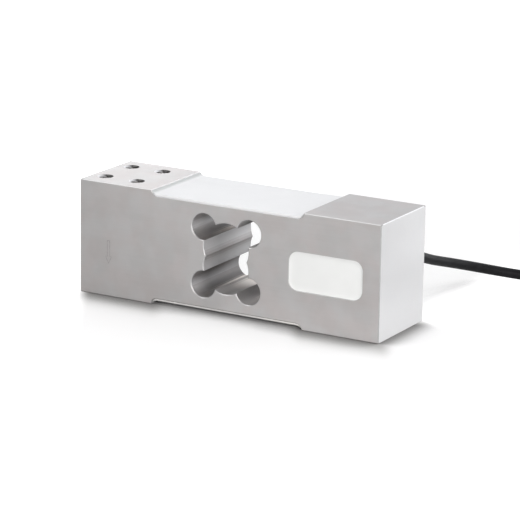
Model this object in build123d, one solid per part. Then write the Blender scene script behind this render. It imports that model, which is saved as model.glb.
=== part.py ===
from build123d import *
import math
import os

# Sizes are in millimetres. X runs along the beam to its fixed end, Y to the face that
# the cable leaves, Z up. The origin is the middle of the base of the beam.

# Beam block
beam_length = 174.0
beam_width = 48.0
beam_height = 60.0
edge_chamfer = 0.4
pad_length = 43.0
recess_depth = 3.0
recess_radius = 3.5

# Flexure opening: two bores, one over the other, and a smaller lobe at each corner
bore_diameter = 26.0
bore_rise = 5.4
lobe_diameter = 14.0
lobe_reach = 13.0
lobe_rise = 14.9
rim_chamfer = 0.4

# Threaded mounting holes, four up at the load end and four down at the fixed end
thread_drill = 6.8
thread_mouth = 8.4
thread_drill_depth = 15.5
drill_point_angle = 118.0
hole_end_distance = 8.0
hole_spacing_x = 19.0
hole_spacing_y = 25.0

# Terminal pocket in the front face
pocket_length = 41.0
pocket_height = 20.0
pocket_corner = 5.0
pocket_depth = 22.0
pocket_end_distance = 9.8
pocket_chamfer = 0.3

# Drilled channels from each recess to the pocket
channel_diameter = 3.0
channel_inset = 2.8
channel_offset = 9.0

# Signal cable and its way out of the back face
cable_diameter = 5.3
cable_end_distance = 22.0
cable_bore_clearance = 0.2
sheath_in_pocket = 5.0
bush_diameter = 10.0
bush_seat_depth = 8.0
bush_stand_out = 3.0
bush_nose_diameter = 8.4
bush_clearance = 0.05
stop_ring_diameter = 8.6
stop_ring_width = 2.5

# Silicone coats over the gauges and in the pocket
coat_thickness = 1.0
coat_edge_inset = 0.3
coat_edge_round = 0.4
coat_wall_gap = 0.05
potting_wall_gap = 0.05
potting_rim_gap = 0.1
dish_depth = 0.5
dish_slope_width = 1.6
dish_rim_width = 0.25
keepout = 0.05

# Foil strain gauges on the thin webs over and under the lobes
backing_length = 10.0
backing_width = 8.0
backing_thickness = 0.15
foil_thickness = 0.05
strand_count = 7
strand_length = 5.6
strand_width = 0.36
strand_pitch = 0.62
grid_offset = 1.0
tab_length = 1.6
tab_width = 1.5
tab_reach = 3.3
tab_offset = -2.9

# Bonded solder terminals beside each gauge, and the fine jumpers to them
strip_length = 9.0
strip_width = 2.6
strip_thickness = 0.25
strip_setback = 6.0
strip_pad_length = 1.8
strip_pad_width = 1.6
strip_pad_thickness = 0.05
jumper_diameter = 0.16
jumper_rise = 0.3
wire_sides = 8

# Lead wires from the terminals to the board
lead_diameter = 0.4
lead_pitch = 0.6
lead_gap = 0.03
lead_row_pitch = 1.4
lead_row_start = 1.8

# Compensation board on the pocket floor
board_inset = 4.3
board_length = 16.5
board_height = 15.0
board_thickness = 1.0
adhesive_thickness = 0.8
adhesive_margin = 1.5
copper_thickness = 0.05
lead_pad_length = 2.4
lead_pad_width = 0.9
lead_pad_inset = 1.6
core_pad_length = 3.0
core_pad_width = 1.7
core_pad_inset = 0.8
resistor_count = 4
resistor_length = 3.2
resistor_width = 1.6
resistor_height = 0.6
resistor_pitch = 3.2

# Cable cores
core_names = ["red", "black", "green", "white", "drain"]
core_diameter = 1.0
core_circle = 1.35
core_first_turn = 2.5
core_turn_step = 1.15
core_pad_pitch = 2.6
core_run_in = 3.0

# Free cable, laid down to the surface that the beam stands on, its points by hand
cable_route = [
    (65.0, 27.0, 30.0),
    (65.0, 39.0, 30.0),
    (65.2, 53.5, 25.4),
    (66.6, 70.0, 18.6),
    (70.4, 87.5, 13.5),
    (77.4, 102.5, 8.9),
    (88.4, 114.2, 5.0),
    (103.5, 120.8, 3.1),
    (123.5, 122.0, 2.7),
    (151.0, 117.6, 3.0),
    (180.4, 110.0, 3.55),
]

# Coil of the length that is put away: turns side by side in two layers
coil_x = 174.0
coil_y = 65.0
turns_across = 4
coil_layers = 2
coil_across_diameters = 12.0
joint_angle = 20.0
tie_width = 2.5
tie_thickness = 0.8
tie_clearance = 0.1
tie_angles = [150.0, 290.0]
tie_head_length = 4.6
tie_head_width = 4.0
tie_head_height = 2.4

# Cable from the coil to its stripped end, its points by hand
tail_route = [
    (216.4, 80.4, 8.85),
    (219.8, 69.6, 8.85),
    (220.9, 57.0, 5.6),
    (220.0, 44.5, 3.1),
    (217.6, 31.0, 3.1),
]
sleeve_length = 10.0
sleeve_past_end = 2.0
sleeve_wall = 0.35
sleeve_clearance = 0.05
tail_core_length = 34.0
tail_core_spread = 6.0
tail_core_bend = 9.0
tip_length = 6.0
tip_diameter = 0.7

# Places that follow from the sizes above
middle_z = beam_height / 2
front_y = -beam_width / 2
back_y = beam_width / 2
floor_z = beam_height - recess_depth
pocket_right = beam_length / 2 - pocket_end_distance
pocket_x = pocket_right - pocket_length / 2
pocket_left = pocket_right - pocket_length
pocket_floor_y = front_y + pocket_depth
channel_x = pocket_left + channel_inset
channel_y = -channel_offset
cable_x = beam_length / 2 - cable_end_distance
cable_radius = cable_diameter / 2
sheath_end_y = pocket_floor_y - sheath_in_pocket
gauge_x = lobe_reach
board_left = pocket_left + board_inset
board_right = board_left + board_length
board_back_y = pocket_floor_y - adhesive_thickness
board_face_y = board_back_y - board_thickness
copper_y = board_face_y - copper_thickness
coil_radius = coil_across_diameters * cable_radius
coil_base = tie_thickness + tie_clearance


def block(x_low, x_high, y_low, y_high, z_low, z_high, grow=0.0):
    """Box between two corners, made larger by grow on every side."""
    size = Vector(x_high - x_low, y_high - y_low, z_high - z_low)
    middle = Vector(x_low + x_high, y_low + y_high, z_low + z_high) / 2
    return Pos(*middle) * Box(size.X + 2 * grow, size.Y + 2 * grow, size.Z + 2 * grow)


def turned(points, x, y, z, direction):
    """Solid of revolution: points are (radius, distance along the direction)."""
    axis = Axis((x, y, z), direction)
    across = Vector(1, 0, 0)
    corners = [Vector(x, y, z) + across * r + axis.direction * s for r, s in points]
    return revolve(make_face(Polyline(*corners, close=True)), axis)


def rod_y(x, z, diameter, y_low, y_high):
    """Cylinder that lies along Y."""
    radius = diameter / 2
    profile = [(0, y_low), (radius, y_low), (radius, y_high), (0, y_high)]
    return turned(profile, x, 0, z, (0, 1, 0))


def tube(points, diameter, radii):
    """Round bar along straight runs joined by tangent arcs."""
    path = FilletPolyline(*points, radius=radii)
    section = Plane(origin=path @ 0, z_dir=path % 0) * Circle(diameter / 2)
    return sweep(section, path)


def thin_wire(path, diameter):
    """Wire with a few flat sides inside its true diameter, and mitred corners."""
    section = Plane(origin=path @ 0, z_dir=path % 0) * RegularPolygon(diameter / 2, wire_sides)
    return sweep(section, path, transition=Transition.RIGHT)


def half_turn(before, corner, after):
    """Half the angle, in radians, by which the route turns at a corner."""
    arriving = Vector(*corner) - Vector(*before)
    leaving = Vector(*after) - Vector(*corner)
    return math.radians(arriving.get_angle(leaving)) / 2


def corner_radii(points):
    """Largest tangent arc that the shorter run at each corner allows."""
    radii = []
    for before, corner, after in zip(points, points[1:], points[2:]):
        shorter = min(math.dist(before, corner), math.dist(corner, after))
        radii.append(0.45 * shorter / math.tan(half_turn(before, corner, after)))
    return radii


def to_lower_side(part):
    """Copy mirrored to the lower half of the beam."""
    return mirror(part, about=Plane.XY.offset(middle_z))


# Beam

def recess_half_length():
    """Half length of the recess, so that its wall reaches the pad at the pad's length."""
    rise = max(recess_radius - recess_depth, 0)
    reach = recess_radius - math.sqrt(recess_radius**2 - rise**2)
    return beam_length / 2 - pad_length + reach


def recess_outline(gap=0.0):
    """Rounded outline whose lowest side is the recess floor, in the XZ plane."""
    height = 4 * recess_radius
    outline = RectangleRounded(2 * (recess_half_length() - gap), height, recess_radius)
    return Plane.XZ * Pos(0, floor_z + height / 2) * outline


def flexure_opening():
    """Four corner lobes and two bores, right through, with chamfered rims."""
    places = [(0, side * bore_rise, bore_diameter) for side in (-1, 1)]
    for x_side in (-1, 1):
        for z_side in (-1, 1):
            places.append((x_side * lobe_reach, z_side * lobe_rise, lobe_diameter))
    past = 1.0
    cutter = Part()
    for x, rise, diameter in places:
        radius = diameter / 2
        profile = [
            (0, front_y - past),
            (radius + rim_chamfer + past, front_y - past),
            (radius, front_y + rim_chamfer),
            (radius, back_y - rim_chamfer),
            (radius + rim_chamfer + past, back_y + past),
            (0, back_y + past),
        ]
        cutter += turned(profile, x, 0, middle_z + rise, (0, 1, 0))
    return cutter


def threaded_hole(x, y):
    """Blind drilled hole, down from the top, with a chamfered mouth and drill point."""
    drill_radius = thread_drill / 2
    mouth_radius = thread_mouth / 2
    past = 1.0
    point = drill_radius / math.tan(math.radians(drill_point_angle / 2))
    profile = [
        (0, past),
        (mouth_radius + past, past),
        (drill_radius, drill_radius - mouth_radius),
        (drill_radius, -thread_drill_depth),
        (0, -thread_drill_depth - point),
    ]
    return turned(profile, x, y, beam_height, (0, 0, 1))


def mounting_holes():
    """Four holes down from the load end's top, four up from the fixed end's base."""
    first = beam_length / 2 - hole_end_distance
    cutter = Part()
    for x in (first, first - hole_spacing_x):
        for y_side in (-1, 1):
            y = y_side * hole_spacing_y / 2
            cutter += threaded_hole(-x, y)
            cutter += to_lower_side(threaded_hole(x, y))
    return cutter


def pocket_outline(gap=0.0):
    """Rounded outline of the pocket, in the plane of the front face."""
    plane = Plane(origin=(pocket_x, front_y, middle_z), x_dir=(1, 0, 0), z_dir=(0, 1, 0))
    length = pocket_length - 2 * gap
    return plane * RectangleRounded(length, pocket_height - 2 * gap, pocket_corner - gap)


def pocket():
    """Pocket with a small chamfer round its mouth."""
    well = extrude(pocket_outline(), pocket_depth)
    return well + extrude(pocket_outline(-pocket_chamfer), pocket_chamfer, taper=45)


def wire_channel():
    """Hole drilled from the upper recess down into the pocket."""
    depth = beam_height - middle_z
    place = Pos(channel_x, channel_y, middle_z + depth / 2)
    return place * Cylinder(channel_diameter / 2, depth)


def cable_bore():
    """Way through the wall behind the pocket, with the seat of the bush."""
    through = cable_diameter + 2 * cable_bore_clearance
    seat_y = back_y - bush_seat_depth
    bore = rod_y(cable_x, middle_z, through, pocket_floor_y - 1, back_y)
    return bore + rod_y(cable_x, middle_z, bush_diameter, seat_y, back_y + 1)


def load_beam():
    outline = Plane.XZ * Pos(0, middle_z) * Rectangle(beam_length, beam_height)
    outline = chamfer(outline.vertices(), edge_chamfer)
    upper = recess_outline()
    outline = outline - upper - to_lower_side(upper)
    body = extrude(outline, beam_width / 2, both=True)
    faces = body.faces().sort_by(Axis.Y)
    body = chamfer(faces[0].edges() + faces[-1].edges(), edge_chamfer)
    body -= flexure_opening()
    body -= mounting_holes()
    body -= pocket()
    body -= wire_channel() + to_lower_side(wire_channel())
    return body - cable_bore()


# Strain gauges, their terminals and wires, all on the upper recess floor

def gauge_backing(x):
    half_length = backing_length / 2
    half_width = backing_width / 2
    top = floor_z + backing_thickness
    return block(x - half_length, x + half_length, -half_width, half_width, floor_z, top)


def foil_grid(x):
    """Zigzag foil grid with two solder tabs, on one gauge backing."""
    base = Plane(origin=(x, 0, floor_z + backing_thickness))
    half = strand_length / 2
    first_y = grid_offset - strand_pitch * (strand_count - 1) / 2
    pieces = []
    for index in range(strand_count):
        y = first_y + index * strand_pitch
        pieces.append(Pos(0, y) * Rectangle(strand_length, strand_width))
        if index < strand_count - 1:
            side = 1 if index % 2 == 0 else -1
            loop = Rectangle(strand_width, strand_pitch + strand_width)
            loop_x = side * (half - strand_width / 2)
            pieces.append(Pos(loop_x, y + strand_pitch / 2) * loop)
    last_y = first_y + strand_pitch * (strand_count - 1)
    left_leg = tab_reach - half + strand_width
    pieces.append(Pos(-tab_reach + left_leg / 2, first_y) * Rectangle(left_leg, strand_width))
    pieces.append(Pos(tab_reach - left_leg / 2, last_y) * Rectangle(left_leg, strand_width))
    for side, y_high in ((-1, first_y), (1, last_y)):
        drop = y_high + strand_width / 2 - tab_offset
        leg_x = side * (tab_reach - strand_width / 2)
        pieces.append(Pos(leg_x, tab_offset + drop / 2) * Rectangle(strand_width, drop))
        tab_x = side * (tab_reach - tab_length / 2)
        pieces.append(Pos(tab_x, tab_offset) * Rectangle(tab_length, tab_width))
    sketch = Sketch() + pieces
    return extrude(base * sketch, foil_thickness)


def pad_x_places(x):
    """X of the two solder tabs of a gauge, which its terminal's pads share."""
    return [x + side * (tab_reach - tab_length / 2) for side in (-1, 1)]


def terminal_strip(x):
    """Bonded terminal with two raised solder pads."""
    low = floor_z
    high = floor_z + strip_thickness
    y_low = -strip_setback - strip_width / 2
    half = strip_length / 2
    strip = block(x - half, x + half, y_low, y_low + strip_width, low, high)
    for pad_x in pad_x_places(x):
        pad_low = -strip_setback - strip_pad_width / 2
        strip += block(
            pad_x - strip_pad_length / 2,
            pad_x + strip_pad_length / 2,
            pad_low,
            pad_low + strip_pad_width,
            high,
            high + strip_pad_thickness,
        )
    return strip


def gauge_jumper(pad_x):
    """Fine arched wire from a gauge tab to its terminal pad."""
    lift = jumper_diameter / 2 + lead_gap
    start = Vector(pad_x, tab_offset, floor_z + backing_thickness + foil_thickness + lift)
    end_z = floor_z + strip_thickness + strip_pad_thickness + lift
    end = Vector(pad_x, -strip_setback + strip_pad_width / 4, end_z)
    crown = (start + end) / 2 + Vector(0, 0, jumper_rise)
    return thin_wire(ThreePointArc(start, crown, end), jumper_diameter)


def lead_wire(index, pad_x, grow=0.0):
    """Wire from one terminal pad, along the recess and down to its board pad."""
    radius = lead_diameter / 2
    y = channel_y + (index - 1.5) * lead_pitch
    z = floor_z + strip_thickness + strip_pad_thickness + lead_gap + radius
    row_z = middle_z + lead_row_start + index * lead_row_pitch
    board_y = copper_y - radius - lead_gap
    pad_start = board_left + lead_pad_inset
    points = [
        (pad_x, -strip_setback - strip_pad_width / 4, z),
        (pad_x, y, z),
        (channel_x, y, z),
        (channel_x, y, row_z),
        (pad_start, board_y, row_z),
        (pad_start + lead_pad_length, board_y, row_z),
    ]
    return thin_wire(Polyline(*points), lead_diameter + 2 * grow)


def lead_wires(grow=0.0):
    """Four wires: the load end's pair outside, the fixed end's pair inside."""
    pads = pad_x_places(-gauge_x) + pad_x_places(gauge_x)
    return [lead_wire(index, pad_x, grow) for index, pad_x in enumerate(pads)]


def gauge_coating():
    """Silicone coat wall to wall in the recess, hollow over what it covers."""
    half_width = beam_width / 2 - coat_edge_inset
    coat = extrude(recess_outline(coat_wall_gap), half_width, both=True)
    top = floor_z + coat_thickness
    coat -= block(-beam_length, beam_length, -beam_width, beam_width, top, beam_height * 2)
    long_edges = coat.faces().sort_by(Axis.Z)[-1].edges().filter_by(Axis.X)
    coat = fillet(long_edges, coat_edge_round)
    lead_low = channel_y - 1.5 * lead_pitch - lead_diameter / 2
    lead_top = floor_z + strip_thickness + strip_pad_thickness + lead_gap + lead_diameter
    strip_low = -strip_setback - strip_width / 2
    grid_top = floor_z + backing_thickness + foil_thickness + jumper_rise + jumper_diameter
    for x in (-gauge_x, gauge_x):
        half = max(backing_length, strip_length) / 2
        coat -= block(
            x - half, x + half, strip_low, backing_width / 2, floor_z, grid_top, keepout
        )
    wire_left = pad_x_places(-gauge_x)[0] - lead_diameter / 2
    wire_right = channel_x + lead_diameter / 2
    coat -= block(
        wire_left, wire_right, lead_low, -strip_setback, floor_z, lead_top, keepout
    )
    return coat


# Terminal pocket contents

def board_block(grow=0.0):
    low = middle_z - board_height / 2
    high = middle_z + board_height / 2
    return block(board_left, board_right, board_face_y, board_back_y, low, high, grow)


def adhesive_pad(grow=0.0):
    x_low = board_left + adhesive_margin
    x_high = board_right - adhesive_margin
    half = board_height / 2 - adhesive_margin
    z_low = middle_z - half
    return block(x_low, x_high, board_back_y, pocket_floor_y, z_low, middle_z + half, grow)


def lead_row_places():
    """Heights of the eight lead wires' pads."""
    steps = [lead_row_start + index * lead_row_pitch for index in range(4)]
    return [middle_z + side * step for side in (-1, 1) for step in steps]


def core_row_places():
    """Heights of the cores' pads, from the highest down."""
    middle = (len(core_names) - 1) / 2
    return [middle_z + (middle - index) * core_pad_pitch for index in range(len(core_names))]


def board_pads():
    """Copper pads: a row for the lead wires and a row for the cable's cores."""
    pads = []
    lead_x = board_left + lead_pad_inset
    for z in lead_row_places():
        low = z - lead_pad_width / 2
        high = z + lead_pad_width / 2
        pads.append(block(lead_x, lead_x + lead_pad_length, copper_y, board_face_y, low, high))
    core_x = board_right - core_pad_inset
    for z in core_row_places():
        low = z - core_pad_width / 2
        high = z + core_pad_width / 2
        pads.append(block(core_x - core_pad_length, core_x, copper_y, board_face_y, low, high))
    return pads


def trim_resistors(grow=0.0):
    """Chip resistors in a column between the two rows of pads."""
    chips = []
    x_low = (board_left + board_right - resistor_length) / 2
    y_low = board_face_y - resistor_height
    for index in range(resistor_count):
        z = middle_z + (index - (resistor_count - 1) / 2) * resistor_pitch
        z_low = z - resistor_width / 2
        chip = block(
            x_low, x_low + resistor_length, y_low, board_face_y, z_low, z_low + resistor_width,
            grow,
        )
        chips.append(chip)
    return chips


def core_offset(index):
    """Place of a core in the cable's section, as (across, up)."""
    angle = math.radians(90 + index * 360 / len(core_names))
    return core_circle * math.cos(angle), core_circle * math.sin(angle)


def board_core(index, grow=0.0):
    """Core from the cut sheath, turned back on to its board pad."""
    offsets = [core_offset(other) for other in range(len(core_names))]
    across, up = offsets[index]
    rank = sorted(range(len(core_names)), key=lambda other: offsets[other][0]).index(index)
    order = sorted(range(len(core_names)), key=lambda other: (-offsets[other][1], other))
    row_z = core_row_places()[order.index(index)]
    turn_y = sheath_end_y - core_first_turn - rank * core_turn_step
    board_y = copper_y - core_diameter / 2 - lead_gap
    pad_end = board_right - core_pad_inset
    points = [
        (cable_x + across, sheath_end_y, middle_z + up),
        (cable_x + across, turn_y, middle_z + up),
        (pad_end + core_run_in, turn_y, row_z),
        (pad_end + core_run_in / 2, board_y, row_z),
        (pad_end - core_pad_length, board_y, row_z),
    ]
    return thin_wire(Polyline(*points), core_diameter + 2 * grow)


def cable_inner_end(grow=0.0):
    """Sheath from the pocket to the nose of the bush."""
    end_y = back_y + bush_stand_out
    return rod_y(cable_x, middle_z, cable_diameter + 2 * grow, sheath_end_y, end_y)


def cable_stop_ring(grow=0.0):
    """Crimped ring that stops the cable from being pulled out of the pocket."""
    outer = stop_ring_diameter + 2 * grow
    end_y = pocket_floor_y - stop_ring_width - grow
    ring = rod_y(cable_x, middle_z, outer, end_y, pocket_floor_y)
    if grow:
        return ring
    hole = cable_diameter + 2 * bush_clearance
    return ring - rod_y(cable_x, middle_z, hole, end_y - 1, pocket_floor_y + 1)


def cable_bush():
    """Rubber bush: a plug in its seat, and a tapered nose outside."""
    bore = cable_diameter / 2 + bush_clearance
    outer = bush_diameter / 2 - bush_clearance
    nose = bush_nose_diameter / 2
    seat_y = back_y - bush_seat_depth
    nose_y = back_y + bush_stand_out
    edge = 0.6
    profile = [
        (bore, seat_y),
        (outer, seat_y),
        (outer, back_y + edge),
        (nose, nose_y - edge),
        (nose - edge, nose_y),
        (bore, nose_y),
    ]
    return turned(profile, cable_x, 0, middle_z, (0, 1, 0))


def pocket_potting():
    """Silicone fill, dished at the front, hollow where it covers the board and wires."""
    fill = extrude(pocket_outline(potting_wall_gap), pocket_depth)
    rim_y = front_y + potting_rim_gap
    fill -= block(0, beam_length, front_y * 2, rim_y, 0, beam_height)
    slope = math.degrees(math.atan2(dish_slope_width, dish_depth))
    dish = Pos(0, potting_rim_gap, 0) * pocket_outline(dish_rim_width)
    fill -= extrude(dish, dish_depth, taper=slope)
    fill -= board_block(keepout)
    fill -= adhesive_pad(keepout)
    fill -= cable_stop_ring(keepout)
    fill -= cable_inner_end(keepout)
    for chip in trim_resistors(keepout):
        fill -= chip
    for z in lead_row_places():
        low = z - lead_pad_width / 2
        x = board_left + lead_pad_inset
        fill -= block(x, x + lead_pad_length, copper_y, board_face_y, low,
                      low + lead_pad_width, keepout)
    for z in core_row_places():
        low = z - core_pad_width / 2
        x = board_right - core_pad_inset
        fill -= block(x - core_pad_length, x, copper_y, board_face_y, low,
                      low + core_pad_width, keepout)
    for wire in lead_wires(keepout):
        fill -= wire
        fill -= to_lower_side(wire)
    for index in range(len(core_names)):
        fill -= board_core(index, keepout)
    return fill


# Free cable and its coil

def coil_point(angle, radius):
    """Point on a circle round the coil's centre, in plan."""
    turn = math.radians(angle)
    return coil_x + radius * math.cos(turn), coil_y + radius * math.sin(turn)


def joint_stub(point, neighbour):
    """Bent piece of cable from a route's end into the outermost turn of the coil."""
    outer_turn = coil_radius + (turns_across - 1) * cable_radius
    if point is cable_route[-1]:
        inside = coil_point(joint_angle, outer_turn)
    else:
        inside = coil_point(joint_angle + 55, outer_turn)
    path = TangentArc(point, (*inside, point[2]), tangent=Vector(*point) - Vector(*neighbour))
    section = Plane(origin=path @ 0, z_dir=path % 0) * Circle(cable_radius)
    return sweep(section, path)


def coil_outline(grow=0.0):
    """Section of the wound turns, its corners cut where they touch the corner turns."""
    width = turns_across * cable_diameter
    height = coil_layers * cable_diameter
    corner_cut = (2 - math.sqrt(2)) * (cable_radius + grow)
    outline = Rectangle(width + 2 * grow, height + 2 * grow)
    outline = chamfer(outline.vertices(), corner_cut)
    plane = Plane(origin=(coil_x, coil_y, 0), x_dir=(1, 0, 0), z_dir=(0, -1, 0))
    return plane * Pos(coil_radius, coil_base + height / 2) * outline


def cable_coil():
    """Outer shape of the wound turns, with the two stubs that the cable joins."""
    ring = revolve(coil_outline(), Axis((coil_x, coil_y, 0), (0, 0, 1)))
    ring += joint_stub(cable_route[-1], cable_route[-2])
    return ring + joint_stub(tail_route[0], tail_route[1])


def coil_tie(angle):
    """Strap round the wound turns with its lock on top."""
    inside = coil_outline(tie_clearance)
    band = coil_outline(tie_clearance + tie_thickness) - inside
    strap = extrude(band, tie_width / 2, both=True)
    top = coil_base + coil_layers * cable_diameter + tie_clearance + tie_thickness
    head = Box(tie_head_length, tie_head_width, tie_head_height + tie_thickness / 2)
    head = chamfer(head.edges().filter_by(Axis.Z), 0.4)
    head_z = top + tie_head_height / 2 - tie_thickness / 4
    strap += Pos(coil_x + coil_radius, coil_y, head_z) * head
    return strap.rotate(Axis((coil_x, coil_y, 0), (0, 0, 1)), angle)


def tail_frame():
    """End of the sheath, the way it points, and the way across."""
    end = Vector(*tail_route[-1])
    forward = (end - Vector(*tail_route[-2])).normalized()
    return end, forward, Vector(0, 0, 1).cross(forward)


def tail_core_points(index):
    """Points of one free core: out of the sleeve, down and fanned out."""
    end, forward, across = tail_frame()
    side, up = core_offset(index)
    order = sorted(range(len(core_names)), key=lambda other: core_offset(other)[0])
    fan = (order.index(index) - (len(core_names) - 1) / 2 + 0.3) * tail_core_spread
    ground = core_diameter / 2 + 0.05 - end.Z
    length = tail_core_length + 1.5 * (index - 2)
    steps = [(0, side, up), (5, side, up), (17, fan * 0.5, ground), (length, fan * 1.4, ground)]
    return [end + forward * f + across * s + Vector(0, 0, u) for f, s, u in steps]


def tail_core(index):
    points = [tuple(point) for point in tail_core_points(index)]
    radii = [min(radius, tail_core_bend) for radius in corner_radii(points)]
    return thin_wire(FilletPolyline(*points, radius=radii), core_diameter)


def tinned_tip(index):
    """Bare tinned end beyond a core's cut insulation."""
    before, end = tail_core_points(index)[-2:]
    tip_end = end + (end - before).normalized() * tip_length
    return thin_wire(Polyline(end, tip_end), tip_diameter)


def end_sleeve():
    """Shrunk sleeve over the cut end of the sheath."""
    end, forward, across = tail_frame()
    start = end - forward * (sleeve_length - sleeve_past_end)
    plane = Plane(origin=start, x_dir=across, z_dir=forward)
    bore = cable_radius + sleeve_clearance
    return extrude(plane * (Circle(bore + sleeve_wall) - Circle(bore)), sleeve_length)


# Nodes

os.makedirs("parts", exist_ok=True)
written = []


def write(name, solids):
    """One node to its own file; a list of solids shares the node."""
    if not isinstance(solids, list):
        solids = [solids]
    whole = Compound(children=[piece for solid in solids for piece in solid.solids()])
    export_step(whole, f"parts/{name}.step")
    written.append(name)


write("load_beam", load_beam())
write("strain_gauge_top_load", gauge_backing(-gauge_x))
write("strain_gauge_top_fixed", gauge_backing(gauge_x))
write("strain_gauge_bottom_load", to_lower_side(gauge_backing(-gauge_x)))
write("strain_gauge_bottom_fixed", to_lower_side(gauge_backing(gauge_x)))

upper_sets = {
    "gauge_foils": [foil_grid(x) for x in (-gauge_x, gauge_x)],
    "terminal_strips": [terminal_strip(x) for x in (-gauge_x, gauge_x)],
    "gauge_jumpers": [
        gauge_jumper(pad_x) for x in (-gauge_x, gauge_x) for pad_x in pad_x_places(x)
    ],
    "lead_wires": lead_wires(),
    "gauge_coating": [gauge_coating()],
}
for name, pieces in upper_sets.items():
    write(f"{name}_top", pieces)
    write(f"{name}_bottom", [to_lower_side(piece) for piece in pieces])

write("pocket_potting", pocket_potting())
write("compensation_board", board_block())
write("board_adhesive_pad", adhesive_pad())
write("board_pads", board_pads())
write("trim_resistors", trim_resistors())
write("cable_inner_end", cable_inner_end())
write("cable_stop_ring", cable_stop_ring())
write("cable_bush", cable_bush())
for index, name in enumerate(core_names):
    write(f"inner_core_{name}", board_core(index))
    write(f"tail_core_{name}", tail_core(index))

cable_radii = corner_radii(cable_route)
tail_radii = corner_radii(tail_route)
signal_cable = tube(cable_route, cable_diameter, cable_radii)
cable_tail = tube(tail_route, cable_diameter, tail_radii)
write("signal_cable", signal_cable)
write("cable_coil", cable_coil())
write("cable_tail", cable_tail)
write("coil_ties", [coil_tie(angle) for angle in tie_angles])
write("end_sleeve", end_sleeve())
write("tinned_tips", [tinned_tip(index) for index in range(len(core_names))])

section_area = math.pi * cable_radius**2
for name, route, radii, solid in (
    ("signal_cable", cable_route, cable_radii, signal_cable),
    ("cable_tail", tail_route, tail_radii, cable_tail),
):
    length = FilletPolyline(*route, radius=radii).length
    share = solid.volume / (section_area * length)
    print(name, "radii", [round(radius, 1) for radius in radii])
    print(name, "length", round(length, 1), "volume share", round(share, 4))
print(len(written), "nodes written")
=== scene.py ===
import math

import bmesh
import bpy
from mathutils import Matrix, Vector, noise


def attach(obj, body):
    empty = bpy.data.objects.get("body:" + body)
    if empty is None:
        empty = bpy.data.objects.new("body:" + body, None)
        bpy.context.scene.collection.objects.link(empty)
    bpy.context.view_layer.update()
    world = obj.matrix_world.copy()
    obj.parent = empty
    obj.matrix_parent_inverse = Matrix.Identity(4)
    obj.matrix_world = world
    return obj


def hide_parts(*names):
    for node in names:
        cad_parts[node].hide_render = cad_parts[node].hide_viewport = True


# Single point load cell. The beam runs along X, the cable leaves the back at +Y.
# Shapes, camera and lamps are given in millimetres. The finishes and the floor's shading
# are given in metres, because a shader reads its place in them.

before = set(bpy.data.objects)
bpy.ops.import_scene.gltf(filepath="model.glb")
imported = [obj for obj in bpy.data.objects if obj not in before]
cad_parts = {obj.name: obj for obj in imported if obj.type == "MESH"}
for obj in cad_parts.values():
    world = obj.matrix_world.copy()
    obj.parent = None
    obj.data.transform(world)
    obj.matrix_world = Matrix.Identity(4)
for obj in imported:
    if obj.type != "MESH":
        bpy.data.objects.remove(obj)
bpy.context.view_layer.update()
mm = 0.001
pi = math.pi
beamHeight = 60.0
frontY = -24.0


def inMetres(point):
    return Vector(point) * mm


# Camera

cameraView = {
    "place": (684.23, -1193.94, 397.68),
    "looksAt": (6.14, 0.0, 25.16),
    "rollDegrees": 0.962,
    "lens": 194.23,
    "sensor": 36.0,
    "clip": (0.05, 60.0),       # metres
}


def makeCamera(view):
    data = bpy.data.cameras.new("productCamera")
    data.lens = view["lens"]
    data.sensor_width = view["sensor"]
    data.clip_start, data.clip_end = view["clip"]
    camera = bpy.data.objects.new("productCamera", data)
    camera.location = inMetres(view["place"])
    aim = inMetres(view["looksAt"]) - camera.location
    turn = aim.to_track_quat("-Z", "Y").to_matrix()
    turn = turn @ Matrix.Rotation(math.radians(view["rollDegrees"]), 3, "Z")
    camera.rotation_mode = "QUATERNION"
    camera.rotation_quaternion = turn.to_quaternion()
    bpy.context.scene.collection.objects.link(camera)
    bpy.context.scene.camera = camera


makeCamera(cameraView)
print("camera ready")

# Signal cable: the free run, the coil that is put away, and the run to the cut end

cable = {
    "diameter": 5.3,
    "exit": (65.0, 27.0, 30.0),
    "length": 1.89,             # metres
    "profileSteps": 7,
    "stepsPerPoint": 4,
}

# The free run and the tail repeat the route points of the part
freeRun = [
    cable["exit"],
    (65.0, 39.0, 30.0),
    (65.2, 53.5, 25.4),
    (66.6, 70.0, 18.6),
    (70.4, 87.5, 13.5),
    (77.4, 102.5, 8.9),
    (88.4, 114.2, 5.0),
    (103.5, 120.8, 3.1),
    (123.5, 122.0, 2.7),
    (151.0, 117.6, 3.0),
    (180.4, 110.0, 3.55),
]
tailRun = [
    (216.4, 80.4, 8.85),
    (219.8, 69.6, 8.85),
    (220.9, 57.0, 5.6),
    (220.0, 44.5, 3.1),
    (217.6, 31.0, 3.1),
]

coil = {
    "centre": (174.0, 65.0),
    "radius": 31.8,
    "turnsAcross": 4,
    "base": 0.9,
    "pointsPerTurn": 24,
    "shiftStart": 75.0,       # degrees round the coil where a turn starts to change place
    "shiftEnd": 20.0,
    "firstPointAngle": 60.0,
    "climbStart": 85.0,       # the same for the turn that climbs to the upper layer
    "climbEnd": 10.0,
    "layerBulge": 0.3,        # diameters that this turn leans in
}


# Places that the turns fill one after another: lower layer inwards, upper layer outwards
def coilPlaces():
    size = cable["diameter"]
    count = coil["turnsAcross"]
    radii = [coil["radius"] + (index - (count - 1) / 2) * size for index in range(count + 1)]
    low = coil["base"] + size / 2
    lower = [(radius, low) for radius in reversed(radii)]
    upper = [(radius, low + size) for radius in radii]
    return lower + upper


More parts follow.
